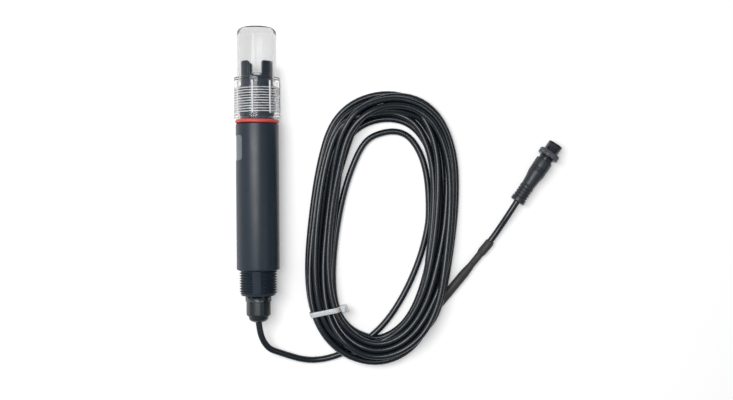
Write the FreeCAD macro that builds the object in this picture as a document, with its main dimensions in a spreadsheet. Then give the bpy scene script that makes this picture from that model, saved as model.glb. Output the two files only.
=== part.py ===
import FreeCAD, Part
import os
from math import acos, atan2, cos, degrees, pi, radians, sin, sqrt, tan

import Sketcher

# A water quality sensor that lies on a table: a slotted glass electrode in a tubular body with a
# pipe thread at each end, a clear fluted cap over the electrode, and a cable that is wound into a
# tied oval coil and ends in a small plug with a knurled coupling ring.
#
# Millimetres. +X right and +Y up as seen from above, +Z up from the table. The origin is on the
# table under the middle of the sensor, whose cap points along +Y.
# The sensor's pieces are drawn about their own Z axis, which points to the cap, with height 0 at
# the shoulder that carries the red ring. The plug's pieces are drawn about their own Z axis too,
# from the rear flange to the pins.

DRIVING_SIZES = {
    # body
    "barrel_radius": 15.0,
    "barrel_length": 102.4,
    "barrel_end_step": 1.9,
    "barrel_end_rise": 0.8,
    "shoulder_chamfer": 0.4,
    "thread_radius": 13.22,
    "upper_thread_radius": 13.05,
    "thread_depth": 1.16,
    "thread_pitch": 1.814,
    "thread_crest": 0.24,
    "thread_root": 0.22,
    "thread_start": 0.85,
    "lower_thread_length": 17.4,
    "upper_thread_length": 18.6,
    "neck_radius": 11.9,
    "neck_length": 7.6,
    "core_bore": 10.5,
    "press_gap": 0.05,
    # bare label recess
    "label_start": 7.8,
    "label_length": 17.9,
    "label_depth": 0.4,
    "label_angle": 81.0,
    "label_corner": 2.0,
    # electrode guard
    "guard_radius": 11.05,
    "guard_bore": 7.6,
    "guard_base": 6.1,
    "prong_length": 11.2,
    "prong_corner": 1.7,
    "prong_edge": 0.8,
    "slot_width": 8.2,
    "slot_corner": 2.4,
    "spigot_length": 9.0,
    "cavity_depth": 3.5,
    # glass electrode and what stands round it
    "bulb_radius": 5.4,
    "bulb_tip": 36.35,
    "bulb_wall": 0.5,
    "stem_radius": 5.0,
    "stem_wall": 0.9,
    "stem_end": 46.0,
    "stopper_length": 8.0,
    "junction_thickness": 3.0,
    "stem_seal_section": 2.2,
    "wire_radius": 0.4,
    "probe_radius": 1.0,
    "wire_offset": 7.8,
    "wire_top": 12.0,
    "bung_start": 36.0,
    "bung_length": 8.0,
    # preamplifier board
    "board_start": 60.0,
    "board_end_gap": 3.8,
    "board_thickness": 1.6,
    "board_edge_gap": 0.25,
    "chip_width": 7.0,
    "chip_height": 1.8,
    "chip_count": 3,
    # red ring and cap
    "ring_section": 3.5,
    "cap_gap": 0.3,
    "rim_radius": 16.5,
    "rim_height": 1.8,
    "rim_chamfer": 0.5,
    "skirt_radius": 16.1,
    "skirt_length": 27.6,
    "skirt_round": 1.4,
    "skirt_roof": 2.2,
    "thread_clearance": 0.35,
    "crown_radius": 13.9,
    "crown_length": 35.6,
    "crown_round": 3.2,
    "crown_wall": 1.5,
    "crown_roof": 3.0,
    "rib_count": 8,
    "rib_phase": -57.0,
    "rib_radius": 0.9,
    "rib_reach": 16.55,
    "rib_start": 2.6,
    "rib_end": 3.0,
    # cable gland
    "plug_length": 12.0,
    "plug_groove": 1.5,
    "plug_ring_section": 1.4,
    "stub_radius": 6.0,
    "stub_length": 10.0,
    "stub_gap": 0.05,
    "gland_ring_section": 1.5,
    "hex_height": 4.6,
    "hex_across": 15.7,
    "hex_chamfer": 0.5,
    "spigot_radius": 6.2,
    "gland_spigot": 8.5,
    "grommet_radius": 4.6,
    "nut_length": 14.0,
    "nut_hex_length": 8.6,
    "nut_across": 15.1,
    "nut_bore": 6.35,
    "nut_roof": 2.2,
    "dome_radius": 7.3,
    "dome_mouth": 3.4,
    "dome_rise": 4.2,
    # cable
    "cable_radius": 2.25,
    "cable_gap": 0.1,
    "coil_height": 12.3,
    "coil_edge": 4.2,
    # cable tie
    "strap_width": 3.5,
    "strap_thickness": 1.1,
    "strap_gap": 0.15,
    "strap_corner": 4.0,
    "tie_head_width": 5.4,
    "tie_head_length": 4.8,
    "tie_head_height": 6.0,
    "tie_tail": 2.0,
    "tie_spine": 1.6,
    # shrink sleeve over the cable
    "sleeve_radius": 3.4,
    "sleeve_neck": 2.75,
    "sleeve_length": 110.7,
    "sleeve_shoulder": 78.0,
    "sleeve_neck_start": 90.0,
    "sleeve_neck_end": 99.0,
    "sleeve_bulb_start": 102.0,
    "sleeve_bulb_radius": 3.3,
    "sleeve_bulb_length": 7.0,
    # plug
    "boot_length": 34.9,
    "flange_radius": 5.25,
    "flange_length": 3.4,
    "relief_radius": 4.95,
    "relief_root": 4.55,
    "relief_count": 4,
    "relief_pitch": 2.25,
    "relief_groove": 0.75,
    "waist_radius": 4.7,
    "waist_at": 14.0,
    "grip_rear_radius": 5.2,
    "grip_rear_at": 19.6,
    "grip_radius": 6.1,
    "grip_at": 24.4,
    "grip_grooves": 3,
    "grip_groove_at": 25.0,
    "grip_groove_pitch": 1.4,
    "grip_groove_width": 0.6,
    "grip_groove_depth": 0.35,
    "grip_round": 0.5,
    "shell_neck_radius": 5.05,
    "shell_neck_length": 2.7,
    "shell_radius": 4.3,
    "shell_wall": 0.6,
    "shell_recess": 0.8,
    "ring_running_gap": 0.12,
    "ring_end_gap": 0.3,
    "knurl_radius": 7.6,
    "knurl_length": 4.3,
    "knurl_count": 40,
    "knurl_depth": 0.35,
    "knurl_width": 0.55,
    "knurl_chamfer": 0.5,
    "ring_barrel_radius": 5.35,
    "ring_barrel_length": 6.7,
    "ring_notch_width": 2.4,
    "ring_notch_length": 2.6,
    "notch_turn": 36.0,
    "lip_groove_depth": 0.25,
    "lip_groove_width": 0.6,
    "lip_land": 0.8,
    "insert_front": 5.0,
    "pin_radius": 0.5,
    "pin_circle": 2.2,
    "pin_count": 5,
    "pin_length": 9.0,
    "pin_tip_gap": 0.8,
    "plug_x": 182.8,
    "plug_y": -19.9,
    "plug_angle": 55.4,
}

# Heights along the sensor, from the shoulder, as sums of the driving sizes
THREAD_END = "(-Size.barrel_length - Size.lower_thread_length)"
NOSE_END = "(Size.neck_length + Size.upper_thread_length)"
SLOT_FLOOR = f"({NOSE_END} + Size.guard_base)"
PRONG_TIP = f"({SLOT_FLOOR} + Size.prong_length)"
CAVITY_FLOOR = f"({SLOT_FLOOR} - Size.cavity_depth)"
JUNCTION_SEAT = f"({CAVITY_FLOOR} - Size.junction_thickness)"
SPIGOT_END = f"({NOSE_END} - Size.spigot_length)"
CAP_MOUTH = "(Size.ring_section + Size.press_gap + Size.cap_gap)"
SKIRT_TOP = f"({CAP_MOUTH} + Size.skirt_length)"
CAP_TOP = f"({SKIRT_TOP} + Size.crown_length)"
SKIRT_BORE = "(Size.upper_thread_radius + Size.thread_clearance)"
CROWN_BORE = "(Size.crown_radius - Size.crown_wall)"
THREAD_ROOT = "(Size.thread_radius - Size.thread_depth)"
STEM_HOLE = "(Size.stem_radius + Size.press_gap)"
BULB_CENTRE = "(Size.bulb_tip - Size.bulb_radius)"
HEX_END = f"({THREAD_END} - Size.hex_height)"
NUT_END = f"({HEX_END} - Size.nut_length)"
CABLE_HOLE = "(Size.cable_radius + Size.cable_gap)"
BOARD_TOP = "(-Size.board_start)"
BOARD_END = f"({THREAD_END} + Size.plug_length + Size.board_end_gap)"
BOARD_LENGTH = f"({BOARD_TOP} - {BOARD_END})"
SHOULDER_Y = f"((-({CAP_TOP}) - ({NUT_END})) / 2)"
# Stations along the plug, from its rear flange
SHELL_NECK_END = "(Size.boot_length + Size.shell_neck_length)"
RING_START = f"({SHELL_NECK_END} + Size.ring_end_gap)"
BARREL_START = f"({RING_START} + Size.knurl_length)"
RING_FRONT = f"({BARREL_START} + Size.ring_barrel_length)"
SHELL_FRONT = f"({RING_FRONT} - Size.shell_recess)"
INSERT_FACE = f"({SHELL_FRONT} - Size.insert_front)"
RING_BORE = "(Size.shell_radius + Size.ring_running_gap)"
SHELL_BORE = "(Size.shell_radius - Size.shell_wall)"

# Route points of the free cable, chosen by hand: from the gland down to the table, under the coil
# and across its middle to the coil's right side
LEAD_POINTS = [
    (0.6, -109.0, 16.3),
    (2.7, -116.2, 14.9),
    (6.9, -122.4, 12.5),
    (13.0, -127.1, 9.7),
    (20.4, -130.2, 7.0),
    (28.6, -131.9, 4.7),
    (38.4, -132.2, 2.9),
    (50.4, -130.3, 2.25),
    (62.6, -125.5, 2.25),
    (73.6, -119.1, 2.25),
    (83.4, -111.5, 2.25),
    (92.0, -101.9, 2.25),
    (99.8, -90.1, 2.25),
    (106.6, -77.3, 2.25),
    (112.1, -64.4, 2.25),
    (116.3, -52.1, 2.25),
]
# From the shrink sleeve up to the plug, whose rear end is the last point
TAIL_POINTS = [
    (170.9, -38.4, 4.5),
    (177.4, -28.2, 7.1),
]
# Corners of the oval coil's middle line with the coil's half width there, seen from above, chosen by
# hand and anticlockwise from its left side
COIL_POINTS = [
    (44.5, -39.5, 10.6),
    (42.3, -73.6, 10.7),
    (46.0, -100.7, 9.4),
    (59.1, -118.6, 9.9),
    (81.8, -127.5, 10.5),
    (105.8, -116.4, 10.1),
    (119.9, -93.1, 10.5),
    (127.1, -59.7, 10.6),
    (131.5, -19.5, 10.4),
    (130.4, 16.3, 9.9),
    (117.2, 42.8, 12.4),
    (92.0, 51.2, 12.1),
    (62.6, 39.4, 13.2),
    (50.9, 4.5, 12.9),
]
TIE_CORNER = 2  # the coil point whose bend carries the tie
SLEEVE_START = (94.4, -133.7)
SLEEVE_HEADING = 50.9

doc = FreeCAD.newDocument("water_quality_sensor")
sheet = doc.addObject("Spreadsheet::Sheet", "Size")
for row, (alias, number) in enumerate(DRIVING_SIZES.items(), start=1):
    sheet.set(f"A{row}", alias)
    sheet.set(f"B{row}", str(number))
    sheet.setAlias(f"B{row}", alias)
doc.recompute()

nodes = []


def size(expression):
    """The number that an expression of the sheet gives now."""
    return float(sheet.evalExpression(expression))


def bind(thing, name, expression):
    thing.setExpression(name, expression)


def node(thing, name):
    """Name a finished sub-part and keep it for the files."""
    thing.Label = name
    nodes.append(thing)
    return thing


# Placing


def lay_on_sensor_axis(thing, twist=0.0):
    """Turn the piece's own Z axis to +Y and set it on the sensor's axis, the rim's radius above the table."""
    tip_over = FreeCAD.Rotation(FreeCAD.Vector(1, 0, 0), -90)
    turn = FreeCAD.Rotation(FreeCAD.Vector(0, 0, 1), twist)
    thing.Placement = FreeCAD.Placement(FreeCAD.Vector(), tip_over * turn)
    bind(thing, "Placement.Base.y", SHOULDER_Y)
    bind(thing, "Placement.Base.z", "Size.rim_radius")


def lay_on_plug_axis(thing, twist=0.0):
    """Turn the piece's own Z axis to the plug's heading, with the knurled ring resting on the table."""
    tip_over = FreeCAD.Rotation(FreeCAD.Vector(1, 0, 0), -90)
    heading = FreeCAD.Rotation(FreeCAD.Vector(0, 0, 1), size("Size.plug_angle") - 90)
    turn = FreeCAD.Rotation(FreeCAD.Vector(0, 0, 1), twist)
    thing.Placement = FreeCAD.Placement(FreeCAD.Vector(), heading * tip_over * turn)
    bind(thing, "Placement.Base.x", "Size.plug_x")
    bind(thing, "Placement.Base.y", "Size.plug_y")
    bind(thing, "Placement.Base.z", "Size.knurl_radius")


# Sketches and features


def origin_feature(body, role):
    return next(f for f in body.Origin.OriginFeatures if f.Role == role)


def outline(body, name, plane, corners, lift=None):
    """Sketch a closed outline on one of the body's planes from pairs of expressions of the sheet."""
    sketch = body.newObject("Sketcher::SketchObject", name)
    sketch.AttachmentSupport = [(origin_feature(body, plane), "")]
    sketch.MapMode = "FlatFace"
    if lift:
        bind(sketch, "AttachmentOffset.Base.z", lift)
    spots = [FreeCAD.Vector(size(u), size(v), 0) for u, v in corners]
    count = len(spots)
    for i in range(count):
        sketch.addGeometry(Part.LineSegment(spots[i], spots[(i + 1) % count]), False)
    for i in range(count):
        sketch.addConstraint(Sketcher.Constraint("Coincident", i, 2, (i + 1) % count, 1))
    for i, (u, v) in enumerate(corners):
        across = sketch.addConstraint(Sketcher.Constraint("DistanceX", -1, 1, i, 1, spots[i].x))
        bind(sketch, f"Constraints[{across}]", u)
        along = sketch.addConstraint(Sketcher.Constraint("DistanceY", -1, 1, i, 1, spots[i].y))
        bind(sketch, f"Constraints[{along}]", v)
    return sketch


def new_body(name):
    return doc.addObject("PartDesign::Body", name)


def turned(body, name, corners, kind="PartDesign::Revolution", angle=None):
    """Turn an outline of (radius, height) corners about the body's Z axis, as material or as a cut."""
    sketch = outline(body, f"{name}_outline", "XZ_Plane", corners)
    feature = body.newObject(kind, name)
    feature.Profile = sketch
    feature.ReferenceAxis = (sketch, ["V_Axis"])
    feature.Angle = 360
    if angle:
        feature.Midplane = True
        bind(feature, "Angle", angle)
    doc.recompute()
    return feature


def turned_cut(body, name, corners, angle=None):
    before = body.Shape.Volume
    feature = turned(body, name, corners, "PartDesign::Groove", angle)
    if not body.Shape.Volume < before:
        raise RuntimeError(f"{name} cuts nothing")
    return feature


def edge_names(shape, wanted):
    return [f"Edge{i}" for i, edge in enumerate(shape.Edges, start=1) if wanted(edge)]


def rounded(body, name, radius, wanted, kind="PartDesign::Fillet"):
    """Round or chamfer the edges of the body's last feature that the test picks."""
    base = body.Tip
    picked = edge_names(base.Shape, wanted)
    if not picked:
        raise RuntimeError(f"{name} finds no edge")
    feature = body.newObject(kind, name)
    feature.Base = (base, picked)
    bind(feature, "Size" if kind == "PartDesign::Chamfer" else "Radius", radius)
    doc.recompute()
    return feature


def rim(radius, height):
    """A test for the circular edge of that radius at that height."""
    r, z = size(radius), size(height)

    def wanted(edge):
        box = edge.BoundBox
        flat = box.ZLength < 1e-5 and abs(box.ZMin - z) < 1e-5
        round_edge = isinstance(edge.Curve, Part.Circle)
        return flat and round_edge and abs(edge.Curve.Radius - r) < 1e-5

    return wanted


def pocket_through(body, name, sketch):
    """Cut the outline right through the body, both ways."""
    before = body.Shape.Volume
    feature = body.newObject("PartDesign::Pocket", name)
    feature.Profile = sketch
    feature.Type = "ThroughAll"
    feature.Midplane = True
    doc.recompute()
    if not body.Shape.Volume < before:
        raise RuntimeError(f"{name} cuts nothing")
    return feature


def patterned(body, name, feature, count):
    pattern = body.newObject("PartDesign::PolarPattern", name)
    pattern.Originals = [feature]
    pattern.Axis = (origin_feature(body, "Z_Axis"), [""])
    pattern.Angle = 360
    bind(pattern, "Occurrences", count)
    body.Tip = pattern
    doc.recompute()
    return pattern


def cylinder(name, radius, low, high, across="0", deep="0"):
    """A rod about the Z axis, or beside it, from one height to another."""
    rod = doc.addObject("Part::Cylinder", name)
    bind(rod, "Radius", radius)
    bind(rod, "Height", f"({high}) - ({low})")
    bind(rod, "Placement.Base.x", across)
    bind(rod, "Placement.Base.y", deep)
    bind(rod, "Placement.Base.z", low)
    return rod


def cut(name, base, tool):
    result = doc.addObject("Part::Cut", name)
    result.Base = base
    result.Tool = tool
    return result


def fused(name, *shapes):
    result = doc.addObject("Part::MultiFuse", name)
    result.Shapes = list(shapes)
    return result


# Housing


def thread_ridges(start, step, count, radius):
    """The outline of a thread's ridges as (radius, height) corners, outwards from the barrel.

    start is the expression of the first ridge's middle and step is "+" or "-", the way the ridges go.
    radius is the crests'.
    """
    crest = "Size.thread_crest / 2"
    foot = "(Size.thread_pitch - Size.thread_root) / 2"
    corners = []
    for i in range(count):
        middle = f"({start} {step} Size.thread_pitch * {i})"
        back = "-" if step == "+" else "+"
        corners += [
            (THREAD_ROOT, f"{middle} {back} {foot}"),
            (radius, f"{middle} {back} {crest}"),
            (radius, f"{middle} {step} {crest}"),
            (THREAD_ROOT, f"{middle} {step} {foot}"),
        ]
    return corners[:-1]


def ridge_count(length):
    """How many ridges fit on a thread, with the start's length left free at both ends."""
    return 1 + int(size(f"({length} - 2 * Size.thread_start) / Size.thread_pitch"))


def make_housing():
    """One moulding: the barrel, a pipe thread at each end, the neck under the ring and the bare label recess.

    The threads are rings of the true profile and pitch, without a lead. The upper one is cut a little
    smaller, so that the cap runs over it freely.
    """
    body = new_body("housing")
    lower = thread_ridges(
        "(-Size.barrel_length - Size.thread_start)",
        "-",
        ridge_count("Size.lower_thread_length"),
        "Size.thread_radius",
    )
    upper = thread_ridges(
        "(Size.neck_length + Size.thread_start)",
        "+",
        ridge_count("Size.upper_thread_length"),
        "Size.upper_thread_radius",
    )
    turned(
        body,
        "housing_turning",
        [
            ("Size.core_bore", THREAD_END),
            (THREAD_ROOT, THREAD_END),
            *reversed(lower),
            (THREAD_ROOT, "-Size.barrel_length"),
            ("Size.barrel_radius - Size.barrel_end_step", "-Size.barrel_length"),
            ("Size.barrel_radius", "-Size.barrel_length + Size.barrel_end_rise"),
            ("Size.barrel_radius", "-Size.shoulder_chamfer"),
            ("Size.barrel_radius - Size.shoulder_chamfer", "0"),
            ("Size.neck_radius", "0"),
            ("Size.neck_radius", "Size.neck_length"),
            *upper,
            (THREAD_ROOT, NOSE_END),
            ("Size.core_bore", NOSE_END),
        ],
    )
    beyond = "(-Size.barrel_radius - Size.label_depth)"
    floor = "(-Size.barrel_radius + Size.label_depth)"
    label_end = "(-Size.label_start - Size.label_length)"
    turned_cut(
        body,
        "label_recess",
        [
            (beyond, "-Size.label_start"),
            (floor, "-Size.label_start"),
            (floor, label_end),
            (beyond, label_end),
        ],
        "Size.label_angle",
    )
    inner = size("Size.barrel_radius - Size.label_depth")
    outer = size("Size.barrel_radius")

    def recess_corner(edge):
        radii = sorted(sqrt(v.X**2 + v.Y**2) for v in edge.Vertexes)
        spans = len(radii) == 2 and abs(radii[0] - inner) < 1e-4 and abs(radii[1] - outer) < 1e-4
        return spans and edge.BoundBox.ZLength < 1e-5

    rounded(body, "label_corners", "Size.label_corner", recess_corner)
    lay_on_sensor_axis(node(body, "housing"))


# Electrode guard


def make_guard():
    """A ring pressed into the nose, with two prongs that stand round the glass bulb."""
    body = new_body("electrode_guard")
    spigot = "(Size.core_bore - Size.press_gap)"
    seal_bore = "(Size.stem_radius + Size.stem_seal_section)"
    seal_top = f"({SPIGOT_END} + Size.stem_seal_section + Size.press_gap)"
    turned(
        body,
        "guard_turning",
        [
            (seal_bore, SPIGOT_END),
            (spigot, SPIGOT_END),
            (spigot, NOSE_END),
            ("Size.guard_radius", NOSE_END),
            ("Size.guard_radius", PRONG_TIP),
            ("Size.guard_bore", PRONG_TIP),
            ("Size.guard_bore", JUNCTION_SEAT),
            (STEM_HOLE, JUNCTION_SEAT),
            (STEM_HOLE, seal_top),
            (seal_bore, seal_top),
        ],
    )
    half = "(Size.slot_width / 2)"
    above = f"({PRONG_TIP} + Size.prong_length)"
    slot = outline(
        body,
        "slot_outline",
        "XZ_Plane",
        [(f"-{half}", SLOT_FLOOR), (half, SLOT_FLOOR), (half, above), (f"-{half}", above)],
    )
    pocket_through(body, "slot", slot)

    def slot_line(height):
        side, z = size(half), size(height)

        def wanted(edge):
            box = edge.BoundBox
            along_y = box.XLength < 1e-5 and box.ZLength < 1e-5
            return along_y and abs(abs(box.XMin) - side) < 1e-5 and abs(box.ZMin - z) < 1e-5

        return wanted

    rounded(body, "slot_corners", "Size.slot_corner", slot_line(SLOT_FLOOR))
    rounded(body, "prong_corners", "Size.prong_corner", slot_line(PRONG_TIP))
    rounded(body, "prong_edges", "Size.prong_edge", rim("Size.guard_radius", PRONG_TIP))
    lay_on_sensor_axis(node(body, "electrode_guard"))


# Glass electrode and inner pieces


def make_glass():
    """A blown tube whose upper end is the thin measuring bulb."""
    low = "(-Size.stem_end)"

    def bulb(name, radius):
        ball = doc.addObject("Part::Sphere", name)
        bind(ball, "Radius", radius)
        bind(ball, "Placement.Base.z", BULB_CENTRE)
        return ball

    bore = "(Size.stem_radius - Size.stem_wall)"
    outside = fused(
        "glass_outside",
        cylinder("glass_stem", "Size.stem_radius", low, BULB_CENTRE),
        bulb("glass_bulb", "Size.bulb_radius"),
    )
    inside = fused(
        "glass_inside",
        cylinder("glass_stem_bore", bore, low, BULB_CENTRE),
        bulb("glass_bulb_hollow", "Size.bulb_radius - Size.bulb_wall"),
    )
    lay_on_sensor_axis(node(cut("glass_electrode", outside, inside), "glass_electrode"))


def make_ring(name, inner_radius, section, low):
    """A round-section seal whose inner side lies at a radius and whose lower side lies at a height."""
    ring = doc.addObject("Part::Torus", name)
    bind(ring, "Radius1", f"({inner_radius}) + ({section}) / 2")
    bind(ring, "Radius2", f"({section}) / 2")
    lay_on_sensor_axis(node(ring, name))
    bind(ring, "Placement.Base.y", f"{SHOULDER_Y} + ({low}) + ({section}) / 2")


def make_collar(name, inner, outer, low, high):
    """A plain turned ring."""
    body = new_body(name)
    turned(body, f"{name}_turning", [(inner, low), (outer, low), (outer, high), (inner, high)])
    lay_on_sensor_axis(node(body, name))


def make_rod(name, radius, low, high, across="0"):
    """A straight rod along the sensor, on its axis or to one side."""
    rod = cylinder(name, radius, low, high)
    lay_on_sensor_axis(node(rod, name))
    bind(rod, "Placement.Base.x", across)
    bind(rod, "Placement.Base.y", f"{SHOULDER_Y} + ({low})")


def make_bung():
    """The rubber bung that closes the reference chamber, with holes for the stem, the wire and the probe."""
    low = "(-Size.bung_start - Size.bung_length)"
    high = "(-Size.bung_start)"
    disc = cylinder("bung_disc", "Size.core_bore - Size.press_gap", low, high)
    below = f"({low} - Size.bung_length)"
    above = f"({high} + Size.bung_length)"
    holes = fused(
        "bung_holes",
        cylinder("bung_stem_hole", STEM_HOLE, below, above),
        cylinder("bung_wire_hole", "Size.wire_radius + Size.press_gap", below, above, "Size.wire_offset"),
        cylinder("bung_probe_hole", "Size.probe_radius + Size.press_gap", below, above, "-Size.wire_offset"),
    )
    lay_on_sensor_axis(node(cut("chamber_bung", disc, holes), "chamber_bung"))


def make_stopper():
    """The stopper in the stem's lower end, bored for the silver wire."""
    make_collar(
        "stem_stopper",
        "Size.wire_radius + Size.press_gap",
        "Size.stem_radius - Size.stem_wall - Size.press_gap",
        "-Size.stem_end",
        "-Size.stem_end + Size.stopper_length",
    )


def make_board():
    """The preamplifier board, which stands edge to edge in the bore, and its three chips."""
    half_width = "(Size.core_bore - Size.board_edge_gap)"
    board = doc.addObject("Part::Box", "preamp_board")
    lay_on_sensor_axis(node(board, "preamp_board"))
    bind(board, "Length", f"2 * {half_width}")
    bind(board, "Width", "Size.board_thickness")
    bind(board, "Height", BOARD_LENGTH)
    bind(board, "Placement.Base.x", f"-{half_width}")
    bind(board, "Placement.Base.y", f"{SHOULDER_Y} + {BOARD_END}")
    bind(board, "Placement.Base.z", "Size.rim_radius + Size.board_thickness / 2")
    chips = []
    count = int(size("Size.chip_count"))
    for i in range(count):
        chip = doc.addObject("Part::Box", f"chip_{i + 1}")
        lay_on_sensor_axis(chip)
        bind(chip, "Length", "Size.chip_width")
        bind(chip, "Width", "Size.chip_height")
        bind(chip, "Height", "Size.chip_width")
        bind(chip, "Placement.Base.x", "-Size.chip_width / 2")
        station = f"{BOARD_END} + {BOARD_LENGTH} * {(i + 0.5) / count} - Size.chip_width / 2"
        bind(chip, "Placement.Base.y", f"{SHOULDER_Y} + {station}")
        bind(chip, "Placement.Base.z", "Size.rim_radius + Size.board_thickness / 2 + Size.chip_height")
        chips.append(chip)
    group = doc.addObject("Part::Compound", "board_chips")
    group.Links = chips
    node(group, "board_chips")


# Cap


def make_cap():
    """The clear screw cap: a fluted skirt over the thread and a plain crown over the electrode."""
    body = new_body("clear_cap")
    roof_low = f"({CAP_TOP} - Size.crown_roof)"
    ledge = f"({SKIRT_TOP} - Size.skirt_roof)"
    turned(
        body,
        "cap_turning",
        [
            (SKIRT_BORE, CAP_MOUTH),
            ("Size.rim_radius - Size.rim_chamfer", CAP_MOUTH),
            ("Size.rim_radius", f"{CAP_MOUTH} + Size.rim_chamfer"),
            ("Size.rim_radius", f"{CAP_MOUTH} + Size.rim_height"),
            ("Size.skirt_radius", f"{CAP_MOUTH} + Size.rim_height + Size.rim_chamfer"),
            ("Size.skirt_radius", SKIRT_TOP),
            ("Size.crown_radius", SKIRT_TOP),
            ("Size.crown_radius", CAP_TOP),
            ("0", CAP_TOP),
            ("0", roof_low),
            (CROWN_BORE, roof_low),
            (CROWN_BORE, ledge),
            (SKIRT_BORE, ledge),
        ],
    )
    rounded(body, "crown_edge", "Size.crown_round", rim("Size.crown_radius", CAP_TOP))
    rounded(body, "skirt_edge", "Size.skirt_round", rim("Size.skirt_radius", SKIRT_TOP))
    rounded(body, "roof_corner", "Size.crown_wall", rim(CROWN_BORE, roof_low))
    middle = "(Size.rib_reach - Size.rib_radius)"
    shoulder = "(Size.rib_reach - Size.rib_radius / 2)"
    low = f"({CAP_MOUTH} + Size.rib_start)"
    high = f"({SKIRT_TOP} - Size.rib_end)"
    sketch = outline(
        body,
        "rib_outline",
        "XZ_Plane",
        [
            (middle, high),
            (middle, low),
            (shoulder, low),
            ("Size.rib_reach", f"{low} + Size.rib_radius"),
            ("Size.rib_reach", f"{high} - Size.rib_radius"),
            (shoulder, high),
        ],
    )
    rib = body.newObject("PartDesign::Revolution", "rib")
    rib.Profile = sketch
    rib.ReferenceAxis = (sketch, ["Edge1"])
    rib.Angle = 360
    doc.recompute()
    patterned(body, "ribs", rib, "Size.rib_count")
    lay_on_sensor_axis(node(body, "clear_cap"), size("Size.rib_phase"))


# Lower end and cable gland


def make_end_plug():
    """The plug in the lower end, grooved for its seal and tapped for the gland."""
    groove_low = f"({THREAD_END} + Size.plug_length / 2)"
    groove_high = f"({groove_low} + Size.plug_groove)"
    outer = "(Size.core_bore - Size.press_gap)"
    root = "(Size.core_bore - Size.press_gap - Size.plug_groove)"
    tapped = "(Size.stub_radius + Size.stub_gap)"
    seal_seat = f"({tapped} + Size.gland_ring_section + Size.press_gap)"
    seat_top = f"({THREAD_END} + Size.gland_ring_section + Size.press_gap)"
    body = new_body("end_plug")
    turned(
        body,
        "end_plug_turning",
        [
            (seal_seat, THREAD_END),
            (outer, THREAD_END),
            (outer, groove_low),
            (root, groove_low),
            (root, groove_high),
            (outer, groove_high),
            (outer, f"{THREAD_END} + Size.plug_length"),
            (tapped, f"{THREAD_END} + Size.plug_length"),
            (tapped, seat_top),
            (seal_seat, seat_top),
        ],
    )
    lay_on_sensor_axis(node(body, "end_plug"))
    make_ring("end_plug_seal", root, "Size.plug_ring_section", f"{groove_low} + Size.press_gap")
    make_ring("gland_seal_ring", tapped, "Size.gland_ring_section", f"{THREAD_END} + Size.press_gap / 2")


def hexagon(across):
    """The corners of a hexagon with a corner on the X axis."""
    corner = f"({across} / sqrt(3))"
    side = f"({across} / 2)"
    return [
        (corner, "0"),
        (f"{corner} / 2", side),
        (f"-{corner} / 2", side),
        (f"-{corner}", "0"),
        (f"-{corner} / 2", f"-{side}"),
        (f"{corner} / 2", f"-{side}"),
    ]


def hex_block(body, name, across, low, height):
    sketch = outline(body, f"{name}_outline", "XY_Plane", hexagon(across), low)
    block = body.newObject("PartDesign::Pad", name)
    block.Profile = sketch
    bind(block, "Length", height)
    doc.recompute()
    return block


def bevel_corners(body, name, across, height, drop):
    """Turn the six corners off one end of a hexagon; drop points from that end into the block."""
    reach = f"({across} / sqrt(3))"
    flat = f"({across} / 2)"
    turned_cut(
        body,
        name,
        [
            (flat, height),
            (f"{reach} + Size.hex_chamfer", height),
            (f"{reach} + Size.hex_chamfer", f"{height} + ({drop})"),
            (reach, f"{height} + ({drop})"),
        ],
    )


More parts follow.
